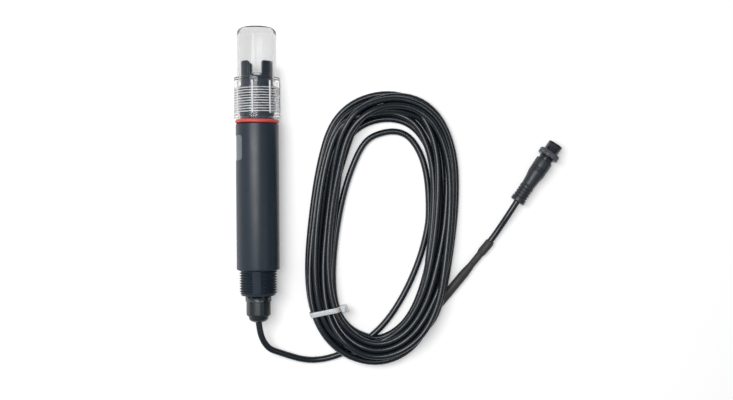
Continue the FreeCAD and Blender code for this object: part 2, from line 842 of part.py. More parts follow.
def make_gland():
    """The gland body, the grommet that grips the cable, and the domed nut that squeezes it."""
    body = new_body("gland_body")
    spigot_end = f"({HEX_END} - Size.gland_spigot)"
    stub_end = f"({THREAD_END} + Size.stub_length)"
    hex_block(body, "gland_hex", "Size.hex_across", HEX_END, "Size.hex_height")
    bevel_corners(body, "gland_hex_bevel", "Size.hex_across", HEX_END, "Size.hex_chamfer")
    turned(
        body,
        "gland_stub",
        [
            ("0", THREAD_END),
            ("Size.stub_radius", THREAD_END),
            ("Size.stub_radius", stub_end),
            ("0", stub_end),
        ],
    )
    turned(
        body,
        "gland_spigot",
        [
            ("0", spigot_end),
            ("Size.spigot_radius", spigot_end),
            ("Size.spigot_radius", HEX_END),
            ("0", HEX_END),
        ],
    )
    pocket = "(Size.grommet_radius + Size.press_gap)"
    turned_cut(
        body,
        "gland_bore",
        [
            ("0", f"{spigot_end} - Size.press_gap"),
            (pocket, f"{spigot_end} - Size.press_gap"),
            (pocket, HEX_END),
            (CABLE_HOLE, HEX_END),
            (CABLE_HOLE, f"{stub_end} + Size.press_gap"),
            ("0", f"{stub_end} + Size.press_gap"),
        ],
    )
    lay_on_sensor_axis(node(body, "gland_body"))

    roof_top = f"({NUT_END} + Size.nut_roof)"
    make_collar(
        "gland_grommet",
        "Size.cable_radius + Size.press_gap",
        "Size.grommet_radius",
        f"{roof_top} + Size.press_gap",
        f"{HEX_END} - Size.press_gap",
    )

    nut = new_body("gland_nut")
    hex_low = f"({HEX_END} - Size.nut_hex_length)"
    hex_block(nut, "nut_hex", "Size.nut_across", hex_low, "Size.nut_hex_length")
    bevel_corners(nut, "nut_hex_bevel", "Size.nut_across", hex_low, "Size.hex_chamfer")
    dome_low = f"({NUT_END} + Size.dome_rise)"
    step = "(Size.dome_radius - Size.dome_mouth)"
    turned(
        nut,
        "nut_dome",
        [
            ("0", hex_low),
            ("0", NUT_END),
            ("Size.dome_mouth", NUT_END),
            (f"Size.dome_mouth + {step} * sin(45)", f"{dome_low} - Size.dome_rise * sin(45)"),
            (f"Size.dome_mouth + {step} * cos(15)", f"{dome_low} - Size.dome_rise * sin(15)"),
            ("Size.dome_radius", dome_low),
            ("Size.dome_radius", hex_low),
        ],
    )
    turned_cut(
        nut,
        "nut_bore",
        [
            ("0", f"{NUT_END} - Size.press_gap"),
            (CABLE_HOLE, f"{NUT_END} - Size.press_gap"),
            (CABLE_HOLE, roof_top),
            ("Size.nut_bore", roof_top),
            ("Size.nut_bore", f"{HEX_END} + Size.press_gap"),
            ("0", f"{HEX_END} + Size.press_gap"),
        ],
    )
    lay_on_sensor_axis(node(nut, "gland_nut"))


# Cable


def unit(vector):
    return vector / vector.Length


def bend_at(before, corner, after):
    """The arc that rounds one corner of a route: its two ends, its middle and its radius."""
    back = before - corner
    on = after - corner
    half_turn = (pi - acos(max(-1.0, min(1.0, unit(back).dot(unit(on)))))) / 2
    reach = 0.45 * min(back.Length, on.Length)
    radius = reach / tan(half_turn)
    inward = unit(unit(back) + unit(on))
    middle = corner + inward * (radius / cos(half_turn) - radius)
    return corner + unit(back) * reach, middle, corner + unit(on) * reach, radius


def route_wire(points):
    """Straight runs joined by tangent arcs, from the first point to the last."""
    edges = []
    start = points[0]
    radii = []
    for before, corner, after in zip(points, points[1:], points[2:]):
        enter, middle, leave, radius = bend_at(before, corner, after)
        edges.append(Part.LineSegment(start, enter).toShape())
        edges.append(Part.Arc(enter, middle, leave).toShape())
        start = leave
        radii.append(radius)
    edges.append(Part.LineSegment(start, points[-1]).toShape())
    return Part.Wire(edges), radii


def make_tube(name, points):
    """A stretch of cable along a route, with its volume compared with section times length."""
    path, radii = route_wire([FreeCAD.Vector(*p) for p in points])
    radius = size("Size.cable_radius")
    heading = path.Edges[0].tangentAt(path.Edges[0].FirstParameter)
    section = Part.Wire([Part.Circle(FreeCAD.Vector(*points[0]), heading, radius).toShape()])
    tube = doc.addObject("Part::Feature", name)
    tube.Shape = path.makePipeShell([section], True, False)
    expected = pi * radius**2 * path.Length
    share = tube.Shape.Volume / expected
    print(f"{name}: length {path.Length:.1f}, volume share {share:.4f}, radii {[round(r, 1) for r in radii]}")
    if abs(share - 1) > 0.01:
        raise RuntimeError(f"{name} has the wrong volume")
    return node(tube, name)


def coil_bends(side):
    """The bends of the coil's middle line (side 0), outer edge (1) or inner edge (-1), one at each corner."""
    corners = [FreeCAD.Vector(x, y, 0) for x, y, half in COIL_POINTS]
    count = len(corners)
    spots = []
    for i, (x, y, half) in enumerate(COIL_POINTS):
        along = unit(corners[i] - corners[i - 1]) + unit(corners[(i + 1) % count] - corners[i])
        outwards = unit(FreeCAD.Vector(along.y, -along.x, 0))
        spots.append(corners[i] + outwards * (half * side))
    return [bend_at(spots[i - 1], spots[i], spots[(i + 1) % count]) for i in range(count)]


def coil_outline(side):
    """One edge of the coil as a closed wire of straight runs and arcs."""
    bends = coil_bends(side)
    edges = []
    for (enter, middle, leave, radius), following in zip(bends, bends[1:] + bends[:1]):
        edges.append(Part.Arc(enter, middle, leave).toShape())
        edges.append(Part.LineSegment(leave, following[0]).toShape())
    return Part.Wire(edges)


def make_coil():
    """The wound turns as one band with rounded edges, which rests on the tie's strap."""
    low = size("Size.strap_thickness + Size.strap_gap")
    tall = FreeCAD.Vector(0, 0, size("Size.coil_height"))
    outer, inner = [Part.Face(coil_outline(side)).extrude(tall) for side in (1, -1)]
    solid = outer.cut(inner)
    level = [e for e in solid.Edges if e.BoundBox.ZLength < 1e-5]
    coil = doc.addObject("Part::Feature", "cable_coil")
    coil.Shape = solid.makeFillet(size("Size.coil_edge"), level)
    coil.Placement = FreeCAD.Placement(FreeCAD.Vector(0, 0, low), FreeCAD.Rotation())
    node(coil, "cable_coil")


def make_tie():
    """One nylon moulding: a strap round the coil, its ratchet head on the inner side and the cut end."""
    body = new_body("cable_tie")
    corner = int(TIE_CORNER)
    enter, middle, leave, radius = coil_bends(0)[corner]
    reach = [(coil_bends(side)[corner][1] - middle).Length for side in (1, -1)]
    half_width = f"({max(reach):.4f} + Size.strap_gap)"
    low = "Size.strap_thickness"
    high = "(Size.strap_thickness + 2 * Size.strap_gap + Size.coil_height)"

    def loop(grow):
        return [
            (f"-{half_width} - {grow}", f"{low} - {grow}"),
            (f"{half_width} + {grow}", f"{low} - {grow}"),
            (f"{half_width} + {grow}", f"{high} + {grow}"),
            (f"-{half_width} - {grow}", f"{high} + {grow}"),
        ]

    def block(name, corners, length):
        pad = body.newObject("PartDesign::Pad", name)
        pad.Profile = outline(body, f"{name}_outline", "XZ_Plane", corners)
        pad.Midplane = True
        bind(pad, "Length", length)
        doc.recompute()

    def along_strap(edge):
        box = edge.BoundBox
        return box.XLength < 1e-5 and box.ZLength < 1e-5

    def window_corner(edge):
        side, bottom, top = size(half_width), size(low), size(high)
        box = edge.BoundBox
        level = abs(box.ZMin - bottom) < 1e-5 or abs(box.ZMin - top) < 1e-5
        return along_strap(edge) and level and abs(abs(box.XMin) - side) < 1e-5

    def strap_corner(edge):
        return along_strap(edge) and abs(edge.BoundBox.XMin) > size(half_width) + 1e-5

    block("strap", loop("Size.strap_thickness"), "Size.strap_width")
    pocket_through(body, "strap_window", outline(body, "window_outline", "XZ_Plane", loop("0")))
    rounded(body, "window_corners", "Size.strap_corner", window_corner)
    rounded(body, "strap_corners", "Size.strap_corner + Size.strap_thickness", strap_corner)
    near = f"({half_width} + Size.strap_thickness / 2)"
    head_top = f"({high} - Size.strap_corner / 2)"
    block(
        "head",
        [
            (near, f"{head_top} - Size.tie_head_height"),
            (f"{near} + Size.tie_head_length", f"{head_top} - Size.tie_head_height"),
            (f"{near} + Size.tie_head_length", head_top),
            (near, head_top),
        ],
        "Size.tie_head_width",
    )
    far = f"({near} + Size.tie_spine)"
    block(
        "cut_end",
        [
            (far, f"{head_top} - Size.strap_thickness"),
            (f"{far} + Size.strap_thickness", f"{head_top} - Size.strap_thickness"),
            (f"{far} + Size.strap_thickness", f"{head_top} + Size.tie_tail"),
            (far, f"{head_top} + Size.tie_tail"),
        ],
        "Size.strap_width",
    )
    inward = unit(middle - FreeCAD.Vector(*COIL_POINTS[corner][:2], 0))
    turn = FreeCAD.Rotation(FreeCAD.Vector(0, 0, 1), degrees(atan2(inward.y, inward.x)))
    body.Placement = FreeCAD.Placement(middle, turn)
    node(body, "cable_tie")


def make_sleeve():
    """The shrink sleeve where the cable leaves the coil, drawn in over the cable near its far end."""
    body = new_body("shrink_sleeve")
    bulb_end = "(Size.sleeve_bulb_start + Size.sleeve_bulb_length)"
    turned(
        body,
        "sleeve_turning",
        [
            ("0", "0"),
            ("Size.sleeve_radius", "0"),
            ("Size.sleeve_radius", "Size.sleeve_shoulder"),
            ("Size.sleeve_neck", "Size.sleeve_neck_start"),
            ("Size.sleeve_neck", "Size.sleeve_neck_end"),
            ("Size.sleeve_bulb_radius", "Size.sleeve_bulb_start"),
            ("Size.sleeve_bulb_radius", bulb_end),
            ("Size.sleeve_neck", "Size.sleeve_length"),
            ("0", "Size.sleeve_length"),
        ],
    )
    heading = FreeCAD.Rotation(FreeCAD.Vector(0, 0, 1), SLEEVE_HEADING - 90)
    tip_over = FreeCAD.Rotation(FreeCAD.Vector(1, 0, 0), -90)
    body.Placement = FreeCAD.Placement(FreeCAD.Vector(*SLEEVE_START, 0), heading * tip_over)
    bind(body, "Placement.Base.z", "Size.sleeve_radius")
    node(body, "shrink_sleeve")


def make_cable():
    """The cable: a straight end inside the sensor, the free lead, the coil, the sleeve and the tail."""
    make_rod("inner_cable", "Size.cable_radius", NUT_END, BOARD_END)
    gland_exit = (0.0, size(f"{SHOULDER_Y} + {NUT_END}"), size("Size.rim_radius"))
    make_tube("cable_lead", [gland_exit, *LEAD_POINTS])
    make_coil()
    make_tie()
    make_sleeve()
    reach = size("Size.sleeve_length")
    turn = radians(SLEEVE_HEADING)
    sleeve_exit = (
        SLEEVE_START[0] + reach * cos(turn),
        SLEEVE_START[1] + reach * sin(turn),
        size("Size.sleeve_radius"),
    )
    plug_rear = (size("Size.plug_x"), size("Size.plug_y"), size("Size.knurl_radius"))
    make_tube("cable_tail", [sleeve_exit, *TAIL_POINTS, plug_rear])


# Plug


def make_boot():
    """The overmoulded boot: a rear flange, a ringed strain relief, a waist and a grooved grip."""
    body = new_body("connector_boot")
    corners = [("0", "0"), ("Size.flange_radius", "0"), ("Size.flange_radius", "Size.flange_length")]
    for i in range(int(size("Size.relief_count"))):
        start = f"(Size.flange_length + Size.relief_pitch * {i})"
        corners.append(("Size.relief_root", start))
        corners.append(("Size.relief_root", f"{start} + Size.relief_groove"))
        corners.append(("Size.relief_radius", f"{start} + Size.relief_groove"))
        corners.append(("Size.relief_radius", f"{start} + Size.relief_pitch"))
    corners += [
        ("Size.waist_radius", "Size.waist_at"),
        ("Size.grip_rear_radius", "Size.grip_rear_at"),
        ("Size.grip_radius", "Size.grip_at"),
    ]
    groove_root = "(Size.grip_radius - Size.grip_groove_depth)"
    for i in range(int(size("Size.grip_grooves"))):
        start = f"(Size.grip_groove_at + Size.grip_groove_pitch * {i})"
        end = f"({start} + Size.grip_groove_width)"
        corners += [("Size.grip_radius", start), (groove_root, start)]
        corners += [(groove_root, end), ("Size.grip_radius", end)]
    corners += [("Size.grip_radius", "Size.boot_length"), ("0", "Size.boot_length")]
    turned(body, "boot_turning", corners)
    rounded(body, "grip_edge", "Size.grip_round", rim("Size.grip_radius", "Size.boot_length"))
    lay_on_plug_axis(node(body, "connector_boot"))


def make_shell():
    """The plug's metal shell: a collar behind the coupling ring and a thin tube round the pins."""
    body = new_body("plug_shell")
    turned(
        body,
        "shell_turning",
        [
            ("0", "Size.boot_length"),
            ("Size.shell_neck_radius", "Size.boot_length"),
            ("Size.shell_neck_radius", SHELL_NECK_END),
            ("Size.shell_radius", SHELL_NECK_END),
            ("Size.shell_radius", SHELL_FRONT),
            (SHELL_BORE, SHELL_FRONT),
            (SHELL_BORE, SHELL_NECK_END),
            ("0", SHELL_NECK_END),
        ],
    )
    lay_on_plug_axis(node(body, "plug_shell"))


def make_insert():
    """The moulded insert that fills the shell's rear and holds the pins, and the pins."""
    pin_rear = f"({INSERT_FACE} + Size.insert_front - Size.pin_tip_gap - Size.pin_length)"
    pin_tip = f"({pin_rear} + Size.pin_length)"
    insert = cylinder("insert_disc", f"{SHELL_BORE} - Size.press_gap", SHELL_NECK_END, INSERT_FACE)
    pins = []
    holes = []
    for i in range(int(size("Size.pin_count"))):
        angle = f"(360 / Size.pin_count * {i} + 90)"
        across = f"Size.pin_circle * cos({angle} * 1 deg)"
        deep = f"Size.pin_circle * sin({angle} * 1 deg)"
        pins.append(cylinder(f"pin_{i + 1}", "Size.pin_radius", pin_rear, pin_tip, across, deep))
        hole = f"pin_hole_{i + 1}"
        holes.append(cylinder(hole, "Size.pin_radius", pin_rear, pin_tip, across, deep))
    lay_on_plug_axis(node(cut("pin_insert", insert, fused("pin_holes", *holes)), "pin_insert"))
    group = doc.addObject("Part::Compound", "contact_pins")
    group.Links = pins
    lay_on_plug_axis(node(group, "contact_pins"))


def make_coupling_ring():
    """The coupling ring that turns on the shell: a knurled flange and a barrel with a bayonet notch."""
    body = new_body("coupling_ring")
    groove_end = f"({RING_FRONT} - Size.lip_land)"
    groove_start = f"({groove_end} - Size.lip_groove_width)"
    root = "(Size.ring_barrel_radius - Size.lip_groove_depth)"
    turned(
        body,
        "ring_turning",
        [
            (RING_BORE, RING_START),
            ("Size.knurl_radius - Size.knurl_chamfer", RING_START),
            ("Size.knurl_radius", f"{RING_START} + Size.knurl_chamfer"),
            ("Size.knurl_radius", f"{BARREL_START} - Size.knurl_chamfer"),
            ("Size.knurl_radius - Size.knurl_chamfer", BARREL_START),
            ("Size.ring_barrel_radius", BARREL_START),
            ("Size.ring_barrel_radius", groove_start),
            (root, groove_start),
            (root, groove_end),
            ("Size.ring_barrel_radius", groove_end),
            ("Size.ring_barrel_radius", RING_FRONT),
            (RING_BORE, RING_FRONT),
        ],
    )
    notch_low = f"({BARREL_START})"
    half_notch = "(Size.ring_notch_width / 2)"
    front = "(-Size.ring_barrel_radius - Size.ring_notch_width)"
    notch_sketch = outline(
        body,
        "notch_outline",
        "XY_Plane",
        [(f"-{half_notch}", "0"), (half_notch, "0"), (half_notch, front), (f"-{half_notch}", front)],
        notch_low,
    )
    before = body.Shape.Volume
    notch = body.newObject("PartDesign::Pocket", "bayonet_notch")
    notch.Profile = notch_sketch
    notch.Reversed = True
    bind(notch, "Length", "Size.ring_notch_length")
    doc.recompute()
    if not body.Shape.Volume < before:
        raise RuntimeError("bayonet_notch cuts nothing")
    root_radius = "(Size.knurl_radius - Size.knurl_depth)"
    half_knurl = "(Size.knurl_width / 2)"
    outside = "(Size.knurl_radius + Size.knurl_depth)"
    knurl_sketch = outline(
        body,
        "knurl_outline",
        "XY_Plane",
        [(root_radius, "0"), (outside, f"-2 * {half_knurl}"), (outside, f"2 * {half_knurl}")],
        RING_START,
    )
    knurl = body.newObject("PartDesign::Pocket", "knurl")
    knurl.Profile = knurl_sketch
    knurl.Reversed = True
    bind(knurl, "Length", "Size.knurl_length")
    doc.recompute()
    patterned(body, "knurls", knurl, "Size.knurl_count")
    lay_on_plug_axis(node(body, "coupling_ring"), -size("Size.notch_turn"))


make_housing()
make_guard()
make_glass()
make_ring("stem_seal", "Size.stem_radius", "Size.stem_seal_section", SPIGOT_END)
make_collar("reference_junction", STEM_HOLE, "Size.guard_bore - Size.press_gap", JUNCTION_SEAT, CAVITY_FLOOR)
make_stopper()
make_bung()
make_rod("silver_wire", "Size.wire_radius", BOARD_TOP, BULB_CENTRE)
make_rod("reference_wire", "Size.wire_radius", BOARD_TOP, "Size.wire_top", "Size.wire_offset")
make_rod("temperature_probe", "Size.probe_radius", BOARD_TOP, "Size.wire_top", "-Size.wire_offset")
make_board()
make_ring("red_seal_ring", "Size.neck_radius + Size.press_gap", "Size.ring_section", "Size.press_gap")
make_cap()
make_end_plug()
make_gland()
make_cable()
make_boot()
make_shell()
make_insert()
make_coupling_ring()
doc.recompute()

for thing in doc.Objects:
    if {"Invalid", "Error"} & set(thing.State):
        raise RuntimeError(f"{thing.Label} failed: {thing.State}")
os.makedirs("parts", exist_ok=True)
for thing in nodes:
    shape = thing.Shape
    if shape.isNull() or not shape.isValid() or not shape.Solids:
        raise RuntimeError(f"{thing.Label} is not a valid solid")
for thing in nodes:
    thing.Shape.exportStep(f"parts/{thing.Label}.step")
print(f"{len(nodes)} sub-parts written")
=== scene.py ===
"""Finished look of a water quality sensor that lies on a table beside its wound cable and plug.

The file is laid out as a Blender add-on and is run as a script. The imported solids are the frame: every
piece here takes its place from them, and the pieces that need a finer shape stand for their solids.
"""

from functools import lru_cache
from math import cos, pi, radians, sin, tan

import bpy
import numpy as np
from bpy.props import FloatProperty, FloatVectorProperty, IntProperty, PointerProperty
from mathutils import Euler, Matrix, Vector


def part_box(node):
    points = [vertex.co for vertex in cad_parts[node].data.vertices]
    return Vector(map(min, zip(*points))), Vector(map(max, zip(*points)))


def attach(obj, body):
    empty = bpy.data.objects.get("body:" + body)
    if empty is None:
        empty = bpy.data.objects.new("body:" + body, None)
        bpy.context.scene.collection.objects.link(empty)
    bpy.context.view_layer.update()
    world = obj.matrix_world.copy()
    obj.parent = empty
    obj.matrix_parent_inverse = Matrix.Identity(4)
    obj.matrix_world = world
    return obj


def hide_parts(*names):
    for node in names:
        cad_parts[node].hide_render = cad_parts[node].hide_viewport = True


bl_info = {
    "name": "Water quality sensor",
    "version": (1, 0, 0),
    "blender": (4, 5, 0),
    "location": "View3D > Sidebar > Sensor",
    "description": "Builds the sensor, its clear cap, its wound cable and its plug on a pale table",
    "category": "Add Mesh",
}

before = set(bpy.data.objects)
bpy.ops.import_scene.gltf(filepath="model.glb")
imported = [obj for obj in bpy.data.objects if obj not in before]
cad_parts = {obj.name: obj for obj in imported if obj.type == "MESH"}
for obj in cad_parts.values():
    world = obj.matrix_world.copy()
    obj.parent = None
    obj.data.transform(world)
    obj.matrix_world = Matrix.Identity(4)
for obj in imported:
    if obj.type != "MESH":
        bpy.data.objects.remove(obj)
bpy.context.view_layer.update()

MM = 0.001

# Heights along the sensor in millimetres, from the shoulder that carries the red ring
THREAD_END = -119.8
BARREL_END = -102.4
FIRST_RIDGE = -103.25
NECK_END = 7.6
NOSE_END = 26.2
CAP_MOUTH = 3.85
SKIRT_TOP = 32.4
CAP_TOP = 67.05
HEX_END = -124.4
NUT_END = -138.4

BARREL_RADIUS = 15.0
THREAD_CREST = 13.22
UPPER_CREST = 13.05
THREAD_ROOT = 11.9
THREAD_PITCH = 1.814
AXIS_HEIGHT = 16.5
SHOULDER_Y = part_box("housing")[0][1] / MM - THREAD_END

# The plug's axis: its rear end, its heading from +X and its height
PLUG_REAR = (182.8, -19.9, 7.6)
PLUG_HEADING = radians(55.4)

# The cable
CABLE_RADIUS = 2.25
LEAD_POINTS = [
    (0.6, -109.0, 16.3), (2.7, -116.2, 14.9), (6.9, -122.4, 12.5), (13.0, -125.0, 9.7),
    (20.4, -128.0, 7.0), (28.6, -130.9, 4.7), (38.4, -132.2, 2.9), (50.4, -130.3, 2.25),
    (62.6, -125.5, 2.25), (73.6, -119.1, 2.25), (83.4, -111.5, 2.25), (92.0, -101.9, 2.25),
    (99.8, -90.1, 2.25), (106.6, -77.3, 2.25), (112.1, -64.4, 2.25), (116.3, -52.1, 2.25),
]
TAIL_POINTS = [
    (170.9, -38.4, 4.5), (176.8, -29.2, 7.1),
]
COIL_POINTS = [
    (44.5, -39.5), (42.3, -73.6), (46.0, -100.7), (59.1, -118.6), (81.8, -127.5), (105.8, -116.4),
    (119.9, -93.1), (127.1, -59.7), (131.5, -19.5), (130.4, 16.3), (117.2, 42.8), (92.0, 51.2),
    (62.6, 39.4), (50.9, 4.5),
]
SLEEVE_START = (95.2, -130.7)
SLEEVE_HEADING = radians(50.0)
SLEEVE_LENGTH = 108.4
SLEEVE_RADIUS = 3.2

# The photograph's camera, straight above the table
CAMERA_PLACE = (76.1, -18.05, 706.5)
CAMERA_ROLL = radians(0.44)
FIELD_WIDTH = 513.1
FIELD_DISTANCE = 690.0


# Sizes and colours that a user would change


def colour(name, description, value):
    return FloatVectorProperty(
        name=name, description=description, subtype="COLOR", size=3, default=value, min=0, max=1
    )


def amount(name, description, value, low=0.0, unit="NONE"):
    return FloatProperty(name=name, description=description, default=value, min=low, unit=unit)


def number(name, description, value, low, high):
    return IntProperty(name=name, description=description, default=value, min=low, max=high)


class SensorLook(bpy.types.PropertyGroup):
    columns: number("Facets round", "Columns of faces round each turned piece", 128, 32, 256)
    body_colour: colour("Body", "Moulded body", (0.014, 0.025, 0.04))
    ring_colour: colour("Ring", "Soft seal ring", (0.72, 0.1, 0.085))
    cable_colour: colour("Cable", "Cable jacket", (0.006, 0.011, 0.017))
    plug_colour: colour("Plug", "Moulded plug", (0.02, 0.026, 0.035))


class CableLook(bpy.types.PropertyGroup):
    diameter: amount("Diameter", "Outside of the jacket", 2 * CABLE_RADIUS * MM, 0.002, "LENGTH")
    length: amount("Length", "From the gland to the plug", 4.9, 1.0, "LENGTH")
    stations: number("Points a turn", "Points of the spline in each turn of the coil", 40, 12, 60)
    turns: number("Turns", "Passes of the cable on each side", 11, 2, 20)


class LightLook(bpy.types.PropertyGroup):
    key_power: amount("Key", "Soft lamp above on the left", 5.6, unit="POWER")
    fill_power: amount("Fill", "Broad lamp on the right", 0.5, unit="POWER")
    sky: amount("Sky", "Light from straight above", 0.3)
    wall: amount("Wall", "Light from a pale wall on the left", 0.6)


def looks():
    return bpy.context.scene.sensor_look


# Places


def on_sensor(points):
    """Local millimetres to the frame: local Z runs along the sensor to the cap, local -Y faces up."""
    x, y, z = np.moveaxis(np.asarray(points, float), -1, 0)
    return np.stack([x, SHOULDER_Y + z, AXIS_HEIGHT - y], axis=-1) * MM


def laid_along(start, heading):
    """A place for a piece that lies level over the table, from its start in millimetres.

    It takes local millimetres to the frame: local Z runs along the heading, local -Y faces up.
    """
    ahead = np.array([cos(heading), sin(heading)])
    aside = np.array([sin(heading), -cos(heading)])

    def place(points):
        x, y, z = np.moveaxis(np.asarray(points, float), -1, 0)
        flat = np.array(start[:2]) + z[..., None] * ahead + x[..., None] * aside
        return np.concatenate([flat, (start[2] - y)[..., None]], axis=-1) * MM

    return place


# Surfaces


def add_object(name, data):
    """An object in the scene, at the origin, that shows a mesh, curve, lamp or camera."""
    thing = bpy.data.objects.new(name, data)
    bpy.context.scene.collection.objects.link(thing)
    return thing


def new_piece(name, vertices, faces, sharp=35.0):
    """A mesh object from its vertices and faces, smooth but for edges sharper than the angle."""
    mesh = bpy.data.meshes.new(name)
    mesh.from_pydata(np.asarray(vertices).tolist(), [], faces)
    mesh.validate()
    mesh.shade_smooth()
    mesh.set_sharp_from_angle(angle=radians(sharp))
    return add_object(name, mesh)


def grid_faces(rows, columns, wrap_rows, wrap_columns):
    """Quads between neighbouring points of a grid, as index rows."""
    i = np.arange(rows if wrap_rows else rows - 1)[:, None]
    j = np.arange(columns if wrap_columns else columns - 1)[None, :]
    here = i * columns
    after = ((i + 1) % rows) * columns
    beside = (j + 1) % columns
    quads = np.stack([here + j, here + beside, after + beside, after + j], axis=-1)
    return quads.reshape(-1, 4)


def outward(points, faces):
    """The faces turned so that the volume they enclose counts positive."""
    a, b, c = (points[faces[:, i]] for i in range(3))
    volume = np.einsum("ij,ij->i", a, np.cross(b, c)).sum()
    if faces.shape[1] == 4:
        d = points[faces[:, 3]]
        volume += np.einsum("ij,ij->i", a, np.cross(c, d)).sum()
    return faces if volume > 0 else faces[:, ::-1]


def rounded_profile(corners, closed=False, steps=4):
    """Turn (radius, height, round) corners into points.

    Each round corner becomes an arc that is tangent to both of its sides.
    """
    spots = np.array([c[:2] for c in corners], float)
    rounds = [c[2] if len(c) > 2 else 0.0 for c in corners]
    count = len(spots)
    out = []
    for i in range(count):
        ends = not closed and i in (0, count - 1)
        if rounds[i] <= 0 or ends:
            out.append(spots[i])
            continue
        back = spots[i - 1] - spots[i]
        on = spots[(i + 1) % count] - spots[i]
        back_length, on_length = np.linalg.norm(back), np.linalg.norm(on)
        back, on = back / back_length, on / on_length
        half = np.arccos(np.clip(back @ on, -1, 1)) / 2
        reach = min(rounds[i] / tan(half), 0.49 * back_length, 0.49 * on_length)
        radius = reach * tan(half)
        centre = spots[i] + (back + on) / np.linalg.norm(back + on) * radius / sin(half)
        first = spots[i] + back * reach - centre
        last = spots[i] + on * reach - centre
        sweep = pi - 2 * half
        share = np.linspace(0, 1, steps + 1)[:, None]
        arc = (first * np.sin((1 - share) * sweep) + last * np.sin(share * sweep)) / sin(sweep)
        out.extend(centre + arc)
    return np.array(out)


def refine(profile, low, high, step):
    """Add points to the profile's runs between two heights, so that a pattern there has rows enough."""
    out = [profile[0]]
    for before, after in zip(profile, profile[1:]):
        run = abs(after[1] - before[1])
        inside = min(before[1], after[1]) >= low - 1e-6 and max(before[1], after[1]) <= high + 1e-6
        count = max(1, int(round(run / step))) if inside else 1
        share = np.linspace(0, 1, count + 1)[1:, None]
        out.extend(before + share * (after - before))
    return np.array(out)


def even_angles(count):
    return np.linspace(0, 2 * pi, count, endpoint=False)


def turned(name, profile, place, angles=None, shape=None, closed=True, sharp=35.0):
    """A turned piece: each profile point goes round the local Z axis at radius r and height h.

    shape, where given, changes (r, h) by angle. A profile that is not closed starts and ends on the axis.
    """
    angles = even_angles(looks().columns) if angles is None else angles
    radius = np.repeat(profile[:, :1], len(angles), axis=1)
    height = np.repeat(profile[:, 1:2], len(angles), axis=1)
    if shape:
        radius, height = shape(radius, height, angles[None, :])
    grid = np.stack([radius * np.cos(angles), radius * np.sin(angles), height], axis=-1)
    rows, columns = radius.shape
    if closed:
        points = place(grid).reshape(-1, 3)
        faces = outward(points, grid_faces(rows, columns, True, True)).tolist()
        return new_piece(name, points, faces, sharp)
    inner = grid[1:-1]
    poles = np.array([[0, 0, profile[0, 1]], [0, 0, profile[-1, 1]]])
    points = place(np.concatenate([inner.reshape(-1, 3), poles]))
    quads = grid_faces(rows - 2, columns, False, True)
    bottom, top = len(points) - 2, len(points) - 1
    j = np.arange(columns)
    beside = (j + 1) % columns
    last = (rows - 3) * columns
    first_fan = np.stack([np.full(columns, bottom), beside, j], axis=-1)
    last_fan = np.stack([np.full(columns, top), last + j, last + beside], axis=-1)
    flipped = not np.array_equal(outward(points, quads), quads)
    if flipped:
        quads, first_fan, last_fan = quads[:, ::-1], first_fan[:, ::-1], last_fan[:, ::-1]
    return new_piece(name, points, quads.tolist() + first_fan.tolist() + last_fan.tolist(), sharp)


def smooth_copy(name, node):
    """A merged copy of a solid, smooth but for its real edges, that stands for the solid."""
    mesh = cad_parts[node].data.copy()
    mesh.name = name
    piece = add_object(name, mesh)
    weld = piece.modifiers.new("weld", "WELD")
    weld.merge_threshold = 1e-6
    evaluated = piece.evaluated_get(bpy.context.evaluated_depsgraph_get())
    merged = bpy.data.meshes.new_from_object(evaluated)
    piece.modifiers.clear()
    piece.data = merged
    merged.shade_smooth()
    merged.set_sharp_from_angle(angle=radians(30))
    even = piece.modifiers.new("flat faces", "WEIGHTED_NORMAL")
    even.keep_sharp = True
    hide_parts(node)
    return piece


def paint(piece, *finishes):
    """Give a piece its materials in place of those it has."""
    piece.data.materials.clear()
    for coat in finishes:
        piece.data.materials.append(coat)


def dress(piece, body, slot, *finishes):
    """Give a piece its body and its materials; the slot argument is not used."""
    paint(piece, *finishes)
    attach(piece, body)
    return piece


# Finishes


